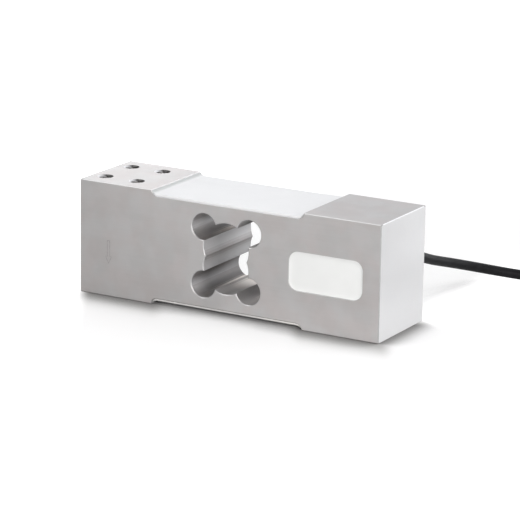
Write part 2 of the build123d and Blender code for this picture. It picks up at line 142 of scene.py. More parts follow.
def coilPoints():
    places = coilPlaces()
    step = 360.0 / coil["pointsPerTurn"]
    window = coil["shiftStart"] - coil["shiftEnd"]
    onCurve = math.cos(math.radians(step / 2))    # the spline runs inside its control points
    travelled = coil["shiftStart"] - coil["firstPointAngle"]
    lastTravel = 360.0 * (len(places) - 2) + window
    points = []
    while travelled < lastTravel:
        turn = int(travelled // 360.0)
        (radius, height), (nextRadius, nextHeight) = places[turn], places[turn + 1]
        early, length, bulge = 0.0, window, 0.0
        if height != nextHeight:
            early = coil["climbStart"] - coil["shiftStart"]
            length = coil["climbStart"] - coil["climbEnd"]
            bulge = coil["layerBulge"] * cable["diameter"]
        part = min((travelled - 360.0 * turn + early) / length, 1.0)
        ease = part * part * (3.0 - 2.0 * part)
        bulge *= math.sin(math.pi * part)
        nowRadius = (radius + (nextRadius - radius) * ease - bulge) / onCurve
        nowHeight = height + (nextHeight - height) * ease
        angle = math.radians(coil["shiftStart"] - travelled)
        x = coil["centre"][0] + nowRadius * math.cos(angle)
        y = coil["centre"][1] + nowRadius * math.sin(angle)
        points.append((x, y, nowHeight))
        travelled += step
    return points


# One smooth line with the route's points as its controls
def makeCable():
    points = freeRun + coilPoints() + tailRun
    data = bpy.data.curves.new("signalCableRun", "CURVE")
    data.dimensions = "3D"
    data.resolution_u = cable["stepsPerPoint"]
    data.bevel_depth = 1.0                     # the points' own radius gives the thickness
    data.bevel_resolution = cable["profileSteps"]
    data.use_fill_caps = True
    line = data.splines.new("NURBS")
    line.points.add(len(points) - 1)
    for control, point in zip(line.points, points):
        control.co = (*inMetres(point), 1.0)
        control.radius = cable["diameter"] * mm / 2
    line.order_u = 3
    line.use_endpoint_u = True
    line.use_smooth = True
    piece = bpy.data.objects.new("signalCableRun", data)
    bpy.context.scene.collection.objects.link(piece)
    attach(piece, "root")
    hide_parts("signal_cable", "cable_coil", "cable_tail")
    return piece


cablePiece = makeCable()
print("cable ready")

# Shader building. Nodes stand in rows, in the order in which they are made

nodesPerRow = 10
nodeSpacing = (190, 260)
firstNodeX = -2200


def shaderNode(tree, kind, **choices):
    row, column = divmod(len(tree.nodes), nodesPerRow)
    node = tree.nodes.new(kind)
    node.location = (firstNodeX + column * nodeSpacing[0], -row * nodeSpacing[1])
    for choice, value in choices.items():
        setattr(node, choice, value)
    return node


# A socket takes a fixed value or a link from another node
def feed(tree, socket, value):
    if isinstance(value, bpy.types.NodeSocket):
        tree.links.new(value, socket)
    elif value is not None:
        socket.default_value = value


def mathNode(tree, operation, first, second=None):
    node = shaderNode(tree, "ShaderNodeMath", operation=operation)
    feed(tree, node.inputs[0], first)
    feed(tree, node.inputs[1], second)
    return node.outputs[0]


def above(tree, value, limit):
    return mathNode(tree, "GREATER_THAN", value, limit)


def below(tree, value, limit):
    return mathNode(tree, "LESS_THAN", value, limit)


# Product of masks: the places where all of them hold
def allOf(tree, first, *others):
    for other in others:
        first = mathNode(tree, "MULTIPLY", first, other)
    return first


def rangeNode(tree, value, low, high, toLow=0.0, toHigh=1.0, kind="LINEAR"):
    node = shaderNode(tree, "ShaderNodeMapRange", interpolation_type=kind)
    labels = ("Value", "From Min", "From Max", "To Min", "To Max")
    for label, part in zip(labels, (value, low, high, toLow, toHigh)):
        feed(tree, node.inputs[label], part)
    return node.outputs["Result"]


# The same with a soft start and end
def easeNode(tree, value, *limits):
    return rangeNode(tree, value, *limits, kind="SMOOTHSTEP")


def mixColour(tree, factor, first, second, blend="MIX"):
    node = shaderNode(tree, "ShaderNodeMix", data_type="RGBA", blend_type=blend)
    for index, value in ((0, factor), (6, first), (7, second)):
        feed(tree, node.inputs[index], value)
    return node.outputs[2]


def mixValue(tree, factor, first, second):
    node = shaderNode(tree, "ShaderNodeMix", data_type="FLOAT")
    for index, value in ((0, factor), (2, first), (3, second)):
        feed(tree, node.inputs[index], value)
    return node.outputs[0]


def noiseNode(tree, vector, scale, detail=2.0, roughness=0.5):
    node = shaderNode(tree, "ShaderNodeTexNoise")
    labels = ("Vector", "Scale", "Detail", "Roughness")
    for label, value in zip(labels, (vector, scale, detail, roughness)):
        feed(tree, node.inputs[label], value)
    return node.outputs[0]


def vectorNode(tree, operation, first, second):
    node = shaderNode(tree, "ShaderNodeVectorMath", operation=operation)
    feed(tree, node.inputs[0], first)
    feed(tree, node.inputs["Scale" if operation == "SCALE" else 1], second)
    return node.outputs[0]


def splitVector(tree, vector):
    node = shaderNode(tree, "ShaderNodeSeparateXYZ")
    tree.links.new(vector, node.inputs[0])
    return list(node.outputs)


# Node group whose inputs are given with their first values, or None for a place
def effectGroup(name, inputs, outputs):
    tree = bpy.data.node_groups.new(name, "ShaderNodeTree")
    for label, value in inputs.items():
        kind = "NodeSocketFloat" if isinstance(value, float) else "NodeSocketVector"
        socket = tree.interface.new_socket(name=label, in_out="INPUT", socket_type=kind)
        if value is not None:
            socket.default_value = value
    for label in outputs:
        tree.interface.new_socket(name=label, in_out="OUTPUT", socket_type="NodeSocketFloat")
    given = shaderNode(tree, "NodeGroupInput").outputs
    result = shaderNode(tree, "NodeGroupOutput").inputs
    return tree, given, result


# Fine lines left by a cutter or a die: short across, long along
def buildToolLines():
    inputs = {"Vector": None, "Stretch": (40.0, 2600.0, 2600.0), "Broad share": 0.4}
    tree, given, result = effectGroup("toolLines", inputs, ["Height", "Tone"])
    stretched = vectorNode(tree, "MULTIPLY", given["Vector"], given["Stretch"])
    fine = noiseNode(tree, stretched, 1.0, 3.0, 0.6)
    broad = noiseNode(tree, stretched, 0.21)
    height = mixValue(tree, given["Broad share"], fine, broad)
    tree.links.new(height, result["Height"])
    tree.links.new(rangeNode(tree, height, 0.3, 0.7), result["Tone"])
    return tree


# Slow patches of tone, with a second set that doesn't follow the first
def buildPatches():
    inputs = {"Vector": None, "Scale": 40.0, "Contrast": 0.2}
    tree, given, result = effectGroup("slowPatches", inputs, ["Mask", "Other mask"])
    low = mathNode(tree, "SUBTRACT", 0.5, given["Contrast"])
    high = mathNode(tree, "ADD", 0.5, given["Contrast"])
    elsewhere = vectorNode(tree, "ADD", given["Vector"], (0.37, 0.21, 0.53))
    for place, label in ((given["Vector"], "Mask"), (elsewhere, "Other mask")):
        clouds = noiseNode(tree, place, given["Scale"], 2.5, 0.55)
        tree.links.new(easeNode(tree, clouds, low, high), result[label])
    return tree


# Small scattered marks, such as dust
def buildSpecks():
    inputs = {"Vector": None, "Scale": 900.0, "Size": 0.12}
    tree, given, result = effectGroup("smallSpecks", inputs, ["Mask"])
    cells = shaderNode(tree, "ShaderNodeTexVoronoi")
    tree.links.new(given["Vector"], cells.inputs["Vector"])
    tree.links.new(given["Scale"], cells.inputs["Scale"])
    near = easeNode(tree, cells.outputs["Distance"], 0.0, given["Size"], 1.0, 0.0)
    coarse = mathNode(tree, "MULTIPLY", given["Scale"], 0.4)
    kept = rangeNode(tree, noiseNode(tree, given["Vector"], coarse, 0.0), 0.55, 0.65)
    tree.links.new(allOf(tree, near, kept), result["Mask"])
    return tree


effects = {"lines": buildToolLines(), "patches": buildPatches(), "specks": buildSpecks()}


def placeEffect(tree, effect, **values):
    node = shaderNode(tree, "ShaderNodeGroup", node_tree=effects[effect])
    for label, value in values.items():
        feed(tree, node.inputs[label.replace("_", " ")], value)
    return node.outputs


def placePatches(tree, place, scaleAndContrast):
    scale, contrast = scaleAndContrast
    return placeEffect(tree, "patches", Vector=place, Scale=scale, Contrast=contrast)


def placeLines(tree, place, stretch, broadShare):
    return placeEffect(tree, "lines", Vector=place, Stretch=stretch, Broad_share=broadShare)


def newFinish(name):
    material = bpy.data.materials.new(name)
    material.use_nodes = True
    tree = material.node_tree
    place = shaderNode(tree, "ShaderNodeTexCoord").outputs["Object"]
    return material, tree, tree.nodes["Principled BSDF"], place


def plain(shader, **values):
    for label, value in values.items():
        shader.inputs[label.replace("_", " ")].default_value = value


def addBump(tree, shader, height, distance, strength=1.0):
    bump = shaderNode(tree, "ShaderNodeBump")
    bump.inputs["Strength"].default_value = strength
    bump.inputs["Distance"].default_value = distance
    tree.links.new(height, bump.inputs["Height"])
    tree.links.new(bump.outputs[0], shader.inputs["Normal"])


# Where a point of the beam lies, and which way its surface faces there
def readSurface(tree, place):
    normal = shaderNode(tree, "ShaderNodeNewGeometry").outputs["True Normal"]
    surface = dict(zip("xyz", splitVector(tree, place)))
    surface.update(zip(("normalX", "normalY", "normalZ"), splitVector(tree, normal)))
    for axis in "XYZ":
        surface[f"off{axis}"] = mathNode(tree, "ABSOLUTE", surface[axis.lower()])
        surface[f"face{axis}"] = mathNode(tree, "ABSOLUTE", surface[f"normal{axis}"])
    return surface


# Milled and finely ground aluminium. Each kind of face adds its own tone to the ground one, most of
# them painted light and shade

groundAluminium = {
    "light": (0.492, 0.485, 0.483, 1.0),
    "dark": (0.432, 0.426, 0.423, 1.0),
    "warm": (1.0, 0.963, 0.958, 1.0),
    "warmShare": 0.9,
    "patchShare": 0.4,                        # the rest of the tone follows the ground lines
    "patches": (75.0, 0.14),                  # their scale and contrast
    "grain": (14.0, 1000.0, 1000.0),
    "broadShare": 0.45,
    "metallic": 0.85,
    "ior": 1.5,
    "roughness": (0.42, 0.52),
    "bump": 0.000006,
    "blocksFrom": 0.05,                       # the solid ends lie farther out than this
}

# Painted light: the sawn ends take a calmer, lighter tone than the ground faces, lighter low down
# and darker towards the top. The end walls of the recesses get painted shade
endFacesPaintedLight = {
    "facing": (0.95, 0.99),
    "tone": (0.69, 0.692, 0.698),
    "paintedLightDrift": (0.034, 0.060, 1.09, 0.88),      # two heights, and how light it is at each
    "share": 0.85,
    # painted shade on the end walls of the recesses, near the middle
    "paintedStepShade": (0.90, 0.90, 0.90, 1.0),
}


def paintEndFaceLight(tree, surface, colour):
    ends = rangeNode(tree, surface["faceX"], *endFacesPaintedLight["facing"])
    # painted light on the sawn ends, lighter low down and darker towards the top
    paintedLightDrift = easeNode(tree, surface["z"], *endFacesPaintedLight["paintedLightDrift"])
    tone = vectorNode(tree, "SCALE", endFacesPaintedLight["tone"], paintedLightDrift)
    colour = mixColour(tree, allOf(tree, ends, endFacesPaintedLight["share"]), colour, tone)
    # painted shade on the end walls of the recesses
    onStep = allOf(tree, ends, below(tree, surface["offX"], groundAluminium["blocksFrom"]))
    return mixColour(tree, onStep, colour, endFacesPaintedLight["paintedStepShade"], "MULTIPLY"), ends


# Painted shade and light: the long sides get darker towards the load end, and lighter low down
# right of the middle
longSidesPaintedShade = {
    "facing": 0.9,
    "paintedLoadEndShade": (-0.10, -0.02, 0.885, 1.0),    # two places, and how light it is at each
    "paintedLowLight": (0.004, 0.024, 0.13, 0.0),          # the same for what is added low down
    "paintedLowLightFrom": (-0.016, 0.014),
}


def paintSideShade(tree, surface, colour):
    # painted light low down right of the middle, and painted shade towards the load end
    lowDown = easeNode(tree, surface["z"], *longSidesPaintedShade["paintedLowLight"])
    rightward = easeNode(tree, surface["x"], *longSidesPaintedShade["paintedLowLightFrom"])
    paintedLightDrift = easeNode(tree, surface["x"], *longSidesPaintedShade["paintedLoadEndShade"])
    paintedLightDrift = mathNode(tree, "ADD", paintedLightDrift, allOf(tree, lowDown, rightward))
    paintedSideTone = vectorNode(tree, "SCALE", colour, paintedLightDrift)
    return mixColour(tree, above(tree, surface["faceY"], longSidesPaintedShade["facing"]), colour, paintedSideTone)


# Painted light and shade on the walls of the bored opening, by depth, height and side: darker deep
# inside, lighter at the mouth, higher up and to the right, and on the parts that face up lighter
# towards the back
boredWalls = {
    "halfLength": 0.0215,                     # they lie inside this box
    "lowest": 0.0075,
    "highest": 0.0525,
    "facing": 0.3,                            # and face along Y less than this
    # painted shade deep inside, with painted light higher up, to the right and at the mouth
    "inside": (0.37, 0.365, 0.365, 1.0),
    "paintedShadeHigh": (0.60, 0.595, 0.595, 1.0),
    "paintedShadeRight": (0.66, 0.65, 0.65, 1.0),
    "mouth": (0.95, 0.94, 0.94, 1.0),
    "back": (0.38, 0.375, 0.375, 1.0),
    "paintedBackShadeHigh": (0.67, 0.665, 0.665, 1.0),
    "paintedFloorFront": (0.88, 0.87, 0.86, 1.0),    # the parts that face up
    "paintedFloorBack": (1.75, 1.70, 1.62, 1.0),
    "floorFacing": (0.84, 0.98),
    "floorTurn": (-0.012, 0.006),             # from front to back along Y
    "highFrom": (0.020, 0.026),
    "rightFrom": (0.002, 0.006),
    "mouthFrom": (-0.006, -0.024),
    "backFrom": (-0.006, 0.024),
    "grain": (900.0, 14.0, 900.0),
    "broadShare": 0.5,
    "dulling": 0.10,
}


def paintBoreShade(tree, surface, colour):
    look = boredWalls
    bored = allOf(
        tree,
        below(tree, surface["offX"], look["halfLength"]),
        above(tree, surface["z"], look["lowest"]),
        below(tree, surface["z"], look["highest"]),
        below(tree, surface["faceY"], look["facing"]),
    )
    high = easeNode(tree, surface["z"], *look["highFrom"])
    right = easeNode(tree, surface["x"], *look["rightFrom"])
    mouth = easeNode(tree, surface["y"], *look["mouthFrom"])
    back = easeNode(tree, surface["y"], *look["backFrom"])
    # painted light and shade, multiplied into the ground colour
    tone = mixColour(tree, right, look["inside"], look["paintedShadeRight"])
    tone = mixColour(tree, high, tone, look["paintedShadeHigh"])
    tone = mixColour(tree, mouth, tone, look["mouth"])
    paintedBackTone = mixColour(tree, high, look["back"], look["paintedBackShadeHigh"])
    tone = mixColour(tree, back, tone, paintedBackTone)
    floorTurn = rangeNode(tree, surface["y"], *look["floorTurn"])
    paintedFloorTone = mixColour(tree, floorTurn, look["paintedFloorFront"], look["paintedFloorBack"])
    faceUp = easeNode(tree, surface["normalZ"], *look["floorFacing"])
    tone = mixColour(tree, faceUp, tone, paintedFloorTone)
    return mixColour(tree, bored, colour, tone, "MULTIPLY"), bored


# Painted shade on the walls and countersinks of the mounting holes, and painted light where they
# face +X
mountingHoles = {
    # painted shade in the holes, and painted light on the sides that face +X
    "wall": (0.10, 0.097, 0.095, 1.0),
    "paintedWallLight": (0.80, 0.80, 0.81, 1.0),
    "litFacing": (0.3, 0.6),
    "halfWidth": 0.022,                       # they stay this near to the middle plane
    "upright": 0.5,
    "sinkSlope": 0.707,
    "slopeSlack": 0.05,
}


def paintHoleShade(tree, surface, colour, ends):
    look = mountingHoles
    # painted light on the sides that face +X, painted shade on the rest
    lit = easeNode(tree, surface["normalX"], *look["litFacing"])
    paintedHoleTone = mixColour(tree, lit, look["wall"], look["paintedWallLight"])
    inBlock = above(tree, surface["offX"], groundAluminium["blocksFrom"])
    area = allOf(tree, inBlock, below(tree, surface["offY"], look["halfWidth"]))
    upright = below(tree, surface["faceZ"], look["upright"])
    onWall = allOf(tree, area, upright, below(tree, ends, 0.5))
    colour = mixColour(tree, onWall, colour, paintedHoleTone)
    offSlope = mathNode(tree, "SUBTRACT", surface["faceZ"], look["sinkSlope"])
    sloping = below(tree, mathNode(tree, "ABSOLUTE", offSlope), look["slopeSlack"])
    return mixColour(tree, allOf(tree, area, sloping), colour, paintedHoleTone)


# Cut edges: narrow slanting faces between the broad ones, and the rim of the opening. Those that
# face right or down take darker tones, as painted shade
cutEdges = {
    "slanting": (0.25, 0.4),
    "notFlat": (0.97, 0.9),
    "from": 0.0235,                           # distance from the middle plane
    "tone": (0.56, 0.56, 0.56, 1.0),
    # painted shade: the edges that face right or down take the darker tones below
    "facingRight": (0.2, 0.5),
    "paintedRightShade": (0.37, 0.37, 0.37, 1.0),
    "paintedRightRimShade": (0.52, 0.52, 0.52, 1.0),
    "facingDown": (-0.3, -0.6),
    "downBelow": 0.006,
    "paintedDownShade": (0.31, 0.303, 0.287, 1.0),
    "roughness": 0.48,
}


def paintEdgeShade(tree, surface, colour):
    look = cutEdges
    slanting = easeNode(tree, surface["faceY"], *look["slanting"])
    notFlat = easeNode(tree, surface["faceY"], *look["notFlat"])
    cut = allOf(tree, slanting, notFlat, above(tree, surface["offY"], look["from"]))
    # painted shade where an edge faces right or down
    down = easeNode(tree, surface["normalZ"], *look["facingDown"])
    down = allOf(tree, down, below(tree, surface["z"], look["downBelow"]))
    right = easeNode(tree, surface["normalX"], *look["facingRight"])
    inBlock = above(tree, surface["offX"], groundAluminium["blocksFrom"])
    paintedRightShade = mixColour(tree, inBlock, look["paintedRightRimShade"], look["paintedRightShade"])
    tone = mixColour(tree, right, look["tone"], paintedRightShade)
    tone = mixColour(tree, down, tone, look["paintedDownShade"])
    return mixColour(tree, cut, colour, tone), cut


def makeAluminium(look):
    material, tree, shader, place = newFinish("groundAluminium")
    patches = placePatches(tree, place, look["patches"])
    lines = placeLines(tree, place, look["grain"], look["broadShare"])
    boreLines = placeLines(tree, place, boredWalls["grain"], boredWalls["broadShare"])
    fromPatches = allOf(tree, patches["Mask"], look["patchShare"])
    fromLines = allOf(tree, lines["Tone"], 1.0 - look["patchShare"])
    tone = mathNode(tree, "ADD", fromPatches, fromLines)
    colour = mixColour(tree, tone, look["dark"], look["light"])
    warmth = allOf(tree, patches["Other mask"], look["warmShare"])
    colour = mixColour(tree, warmth, colour, look["warm"], "MULTIPLY")
    surface = readSurface(tree, place)
    colour, ends = paintEndFaceLight(tree, surface, colour)
    colour = paintSideShade(tree, surface, colour)
    colour, bored = paintBoreShade(tree, surface, colour)
    colour = paintHoleShade(tree, surface, colour, ends)
    colour, cut = paintEdgeShade(tree, surface, colour)
    tree.links.new(colour, shader.inputs["Base Color"])

    dull = rangeNode(tree, lines["Tone"], 0.0, 1.0, *look["roughness"])
    dull = mathNode(tree, "ADD", dull, allOf(tree, bored, boredWalls["dulling"]))
    dull = mixValue(tree, cut, dull, cutEdges["roughness"])
    tree.links.new(dull, shader.inputs["Roughness"])
    height = mixValue(tree, bored, lines["Height"], boreLines["Height"])
    addBump(tree, shader, height, look["bump"])
    plain(shader, Metallic=look["metallic"], IOR=look["ior"])
    return material


# Cast white silicone

silicones = {
    "coatSilicone": {
        "light": (0.87, 0.88, 0.89, 1.0),
        "dark": (0.85, 0.86, 0.87, 1.0),
        # darker where the coat thins over the recess wall: partly the metal showing through, partly
        # painted shade
        "thin": (0.62, 0.63, 0.62, 1.0),      # over the rounded wall of the recess
        "thinFrom": (0.0415, 0.0436),
        # painted shade on the coat's lower edge along the long sides, giving way to a cream tint
        # near the fixed end
        "under": (0.83, 0.82, 0.80, 1.0),     # its lower edge along the long sides
        "underFixed": (1.0, 0.985, 0.94, 1.0),    # the same near the fixed end
        "underFrom": 0.0225,
        "underBelow": 0.006,
        "underTurn": (0.012, 0.034),
        "roughness": 0.62,
        "gloss": 0.12,
    },
    "pottingSilicone": {
        "light": (0.905, 0.925, 0.915, 1.0),
        "dark": (0.88, 0.90, 0.89, 1.0),
        "roughness": 0.45,
        "gloss": 0.3,
    },
}
siliconeSkin = {
    "patches": (60.0, 0.2),         # their scale and contrast
    "dustTone": (0.7, 0.68, 0.64, 1.0),
    "dustShare": 0.25,
    "dustScale": 700.0,
    "dustSize": 0.1,
    "fineWaves": (900.0, 3.0, 0.6),     # their scale, detail and roughness
    "waveHeight": 0.00002,
    "waveStrength": 0.5,
    "roughnessSpread": 0.05,
    "ior": 1.41,
}


# Darker tones of a coat where it thins out over the recess wall, partly painted shade, and painted
# shade where its edge hangs down
def paintCoatShade(tree, place, colour, look):
    x, y, z = splitVector(tree, place)
    # darker where the coat thins over the recess wall, partly painted shade
    thin = easeNode(tree, mathNode(tree, "ABSOLUTE", x), *look["thinFrom"])
    colour = mixColour(tree, thin, colour, look["thin"], "MULTIPLY")
    # painted shade on the lower edge that hangs down
    outer = above(tree, mathNode(tree, "ABSOLUTE", y), look["underFrom"])
    hanging = allOf(tree, outer, below(tree, z, look["underBelow"]))
    turn = easeNode(tree, x, *look["underTurn"])
    under = mixColour(tree, turn, look["under"], look["underFixed"])
    return mixColour(tree, hanging, colour, under, "MULTIPLY")


def makeSilicone(name, look):
    material, tree, shader, place = newFinish(name)
    skin = siliconeSkin
    patches = placePatches(tree, place, skin["patches"])
    specks = placeEffect(
        tree, "specks", Vector=place, Scale=skin["dustScale"], Size=skin["dustSize"]
    )
    colour = mixColour(tree, patches["Mask"], look["dark"], look["light"])
    dusty = allOf(tree, specks["Mask"], skin["dustShare"])
    colour = mixColour(tree, dusty, colour, skin["dustTone"])
    if "thin" in look:
        colour = paintCoatShade(tree, place, colour, look)
    tree.links.new(colour, shader.inputs["Base Color"])
    waves = noiseNode(tree, place, *skin["fineWaves"])
    addBump(tree, shader, waves, skin["waveHeight"], skin["waveStrength"])
    least = look["roughness"] - skin["roughnessSpread"]
    most = look["roughness"] + skin["roughnessSpread"]
    dull = rangeNode(tree, patches["Other mask"], 0.0, 1.0, least, most)
    tree.links.new(dull, shader.inputs["Roughness"])
    plain(shader, IOR=skin["ior"], Specular_IOR_Level=look["gloss"])
    return material


# Plastics, rubbers and insulation: a tone with slow patches, and lines or grain

# What holds for a small piece's finish where its own entry doesn't say otherwise
smallUsual = {
    "roughness": (0.3, 0.4),
    "bump": 0.00001,
    "coat": 0.0,
    "gloss": 0.5,
    "metallic": 0.0,
    "patches": (120.0, 0.25),
    "broadShare": 0.4,
}
coreGrain = (1200.0, 300.0, 1200.0)
plastics = {
    "sheathVinyl": {
        "tones": ((0.0075, 0.0075, 0.0085, 1.0), (0.014, 0.014, 0.016, 1.0)),
        "roughness": (0.44, 0.58), "stretch": (900.0, 900.0, 900.0), "gloss": 0.12,
    },
    "mouldedRubber": {
        "tones": ((0.016, 0.016, 0.017, 1.0), (0.026, 0.026, 0.027, 1.0)),
        "roughness": (0.55, 0.7), "stretch": (1500.0, 1500.0, 1500.0), "bump": 0.00003,
    },
    "tieNylon": {
        "tones": ((0.02, 0.02, 0.021, 1.0), (0.03, 0.03, 0.032, 1.0)),
        "roughness": (0.34, 0.46), "stretch": (700.0, 700.0, 700.0),
    },
    "shrunkSleeve": {
        "tones": ((0.018, 0.018, 0.019, 1.0), (0.03, 0.03, 0.031, 1.0)),
        "roughness": (0.4, 0.55), "stretch": (600.0, 600.0, 600.0), "bump": 0.00002,
    },
    "gaugeFilm": {
        "tones": ((0.42, 0.17, 0.03, 1.0), (0.55, 0.25, 0.05, 1.0)),
        "roughness": (0.25, 0.35), "stretch": (900.0, 900.0, 900.0), "bump": 0.000005,
        "coat": 0.2,
    },
    "terminalLaminate": {
        "tones": ((0.36, 0.30, 0.12, 1.0), (0.46, 0.40, 0.18, 1.0)),
        "roughness": (0.4, 0.5), "stretch": (2500.0, 2500.0, 600.0),
    },
    "solderMask": {
        "tones": ((0.005, 0.08, 0.02, 1.0), (0.012, 0.13, 0.04, 1.0)),
        "roughness": (0.2, 0.3), "stretch": (1800.0, 400.0, 1800.0), "coat": 0.3,
    },
    "foamTape": {
        "tones": ((0.55, 0.55, 0.52, 1.0), (0.72, 0.72, 0.69, 1.0)),
        "roughness": (0.7, 0.85), "stretch": (2500.0, 2500.0, 2500.0), "bump": 0.00006,
    },
    "resistorBody": {
        "tones": ((0.012, 0.012, 0.013, 1.0), (0.03, 0.03, 0.032, 1.0)),
        "stretch": (1800.0, 1800.0, 1800.0),
    },
    "leadInsulation": {
        "tones": ((0.70, 0.68, 0.60, 1.0), (0.80, 0.78, 0.70, 1.0)),
        "stretch": (800.0, 800.0, 800.0), "bump": 0.000005,
    },
    "coreRed": {
        "tones": ((0.42, 0.010, 0.008, 1.0), (0.55, 0.018, 0.012, 1.0)), "stretch": coreGrain,
    },
    "coreBlack": {
        "tones": ((0.008, 0.008, 0.009, 1.0), (0.018, 0.018, 0.019, 1.0)), "stretch": coreGrain,
    },
    "coreGreen": {
        "tones": ((0.006, 0.19, 0.04, 1.0), (0.012, 0.28, 0.07, 1.0)), "stretch": coreGrain,
    },
    "coreWhite": {
        "tones": ((0.72, 0.71, 0.67, 1.0), (0.82, 0.81, 0.78, 1.0)), "stretch": coreGrain,
    },
}


# Small metal parts, the turns of the threads and the engraved line

metalUsual = {
    "roughness": (0.3, 0.45),
    "bump": 0.000006,
    "metallic": 1.0,
    "patches": (400.0, 0.25),
    "stretch": (1800.0, 1800.0, 1800.0),
}
metals = {
    "gaugeFoil": {"tones": ((0.42, 0.38, 0.33, 1.0), (0.55, 0.50, 0.45, 1.0))},
    "tinnedCopper": {"tones": ((0.62, 0.36, 0.22, 1.0), (0.78, 0.52, 0.36, 1.0))},
    "tinnedWire": {
        "tones": ((0.50, 0.50, 0.48, 1.0), (0.66, 0.66, 0.65, 1.0)), "roughness": (0.28, 0.42),
    },
    "cutThread": {
        "tones": ((0.20, 0.195, 0.19, 1.0), (0.34, 0.335, 0.33, 1.0)), "roughness": (0.26, 0.36),
    },
    "platedCrimp": {
        "tones": ((0.48, 0.48, 0.47, 1.0), (0.62, 0.62, 0.61, 1.0)), "roughness": (0.25, 0.4),
    },
    "engravedLine": {
        "tones": ((0.27, 0.265, 0.26, 1.0), (0.36, 0.355, 0.35, 1.0)),
        "roughness": (0.5, 0.5), "metallic": 0.9, "bump": 0.0, "patches": (900.0, 0.2),
    },
}


def makeSmallFinish(name, ownLook):
    look = {**smallUsual, **ownLook}
    material, tree, shader, place = newFinish(name)
    patches = placePatches(tree, place, look["patches"])
    lines = placeLines(tree, place, look["stretch"], look["broadShare"])
    colour = mixColour(tree, patches["Mask"], *look["tones"])
    tree.links.new(colour, shader.inputs["Base Color"])
    dull = rangeNode(tree, lines["Tone"], 0.0, 1.0, *look["roughness"])
    tree.links.new(dull, shader.inputs["Roughness"])
    if look["bump"]:
        addBump(tree, shader, lines["Height"], look["bump"])
    plain(shader, Metallic=look["metallic"], Specular_IOR_Level=look["gloss"])
    plain(shader, Coat_Weight=look["coat"], Coat_Roughness=0.1)
    return material


finishes = {"groundAluminium": makeAluminium(groundAluminium)}
for name, look in silicones.items():
    finishes[name] = makeSilicone(name, look)
for name, look in plastics.items():
    finishes[name] = makeSmallFinish(name, look)
for name, look in metals.items():
    finishes[name] = makeSmallFinish(name, {**metalUsual, **look})

nodeFinishes = {
    "load_beam": "groundAluminium",
    "gauge_coating_top": "coatSilicone",
    "gauge_coating_bottom": "coatSilicone",
    "pocket_potting": "pottingSilicone",
    "signal_cable": "sheathVinyl",
    "cable_coil": "sheathVinyl",
    "cable_tail": "sheathVinyl",
    "cable_bush": "mouldedRubber",
    "cable_inner_end": "sheathVinyl",
    "cable_stop_ring": "platedCrimp",
    "coil_ties": "tieNylon",
    "end_sleeve": "shrunkSleeve",
    "tinned_tips": "tinnedWire",
    "compensation_board": "solderMask",
    "board_adhesive_pad": "foamTape",
    "board_pads": "tinnedCopper",
    "trim_resistors": "resistorBody",
}
for side in ("top", "bottom"):
    nodeFinishes[f"gauge_foils_{side}"] = "gaugeFoil"
    nodeFinishes[f"terminal_strips_{side}"] = "terminalLaminate"
    nodeFinishes[f"gauge_jumpers_{side}"] = "tinnedCopper"
    nodeFinishes[f"lead_wires_{side}"] = "leadInsulation"
    for end in ("load", "fixed"):
        nodeFinishes[f"strain_gauge_{side}_{end}"] = "gaugeFilm"
coreFinishes = {
    "red": "coreRed",
    "black": "coreBlack",
    "green": "coreGreen",
    "white": "coreWhite",
    "drain": "tinnedWire",
}
for core, finish in coreFinishes.items():
    nodeFinishes[f"inner_core_{core}"] = finish
    nodeFinishes[f"tail_core_{core}"] = finish

for nodeName, finish in nodeFinishes.items():
    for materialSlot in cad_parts[nodeName].material_slots:
        materialSlot.material = finishes[finish]
cablePiece.data.materials.append(finishes["sheathVinyl"])
print("finishes ready")


# Mesh building

# Faces look out of a closed mesh, and out of the beam where it is an open sheet
def faceOutwards(mesh):
    shape = bmesh.new()
    shape.from_mesh(mesh)
    bmesh.ops.recalc_face_normals(shape, faces=shape.faces)
    if shape.calc_volume(signed=True) < 0:
        bmesh.ops.reverse_faces(shape, faces=shape.faces)
    shape.to_mesh(mesh)
    shape.free()


def newPiece(name, points, faces, finish, slot, smooth=True):
    mesh = bpy.data.meshes.new(name)
    mesh.from_pydata([inMetres(point) for point in points], [], faces)
    mesh.validate()
    faceOutwards(mesh)
    mesh.materials.append(finishes[finish])
    for face in mesh.polygons:
        face.use_smooth = smooth
    piece = bpy.data.objects.new(name, mesh)
    bpy.context.scene.collection.objects.link(piece)
    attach(piece, "root")
    return piece


# Faces between closed rings of points that follow each other
def ringFaces(ringCount, ringSize):
    faces = []
    for ring in range(ringCount - 1):
        for index in range(ringSize):
            after = (index + 1) % ringSize
            a, b = ring * ringSize + index, ring * ringSize + after
            faces.append((a, b, b + ringSize, a + ringSize))
    return faces


# The same as a closed body, with a face over the first and the last ring
def bodyFaces(ringCount, ringSize):
    last = (ringCount - 1) * ringSize
    firstCap = tuple(range(ringSize))[::-1]
    lastCap = tuple(range(last, last + ringSize))
    return ringFaces(ringCount, ringSize) + [firstCap, lastCap]


def joinMeshes(parts):
    allPoints, allFaces = [], []
    for points, faces in parts:
        first = len(allPoints)
        allPoints += points
        allFaces += [tuple(first + corner for corner in face) for face in faces]
    return allPoints, allFaces


# Sections swept along a path

# Every point of the path has one section of points, as (across, up)
def sweptPoints(path, sections):
    count = len(path)
    points = []
    up = Vector((0.0, 0.0, 1.0))
    for index, place in enumerate(path):
        ahead = (path[min(index + 1, count - 1)] - path[max(index - 1, 0)]).normalized()
        up = (up - ahead * up.dot(ahead)).normalized()
        across = ahead.cross(up)
        for side, height in sections[index]:
            points.append(Vector(place) + across * side + up * height)
    return points


def sweptMesh(path, sections):
    return sweptPoints(path, sections), bodyFaces(len(path), len(sections[0]))


def circleSection(radius, sides=24):
    angles = [2 * pi * step / sides for step in range(sides)]
    return [(radius * math.cos(angle), radius * math.sin(angle)) for angle in angles]


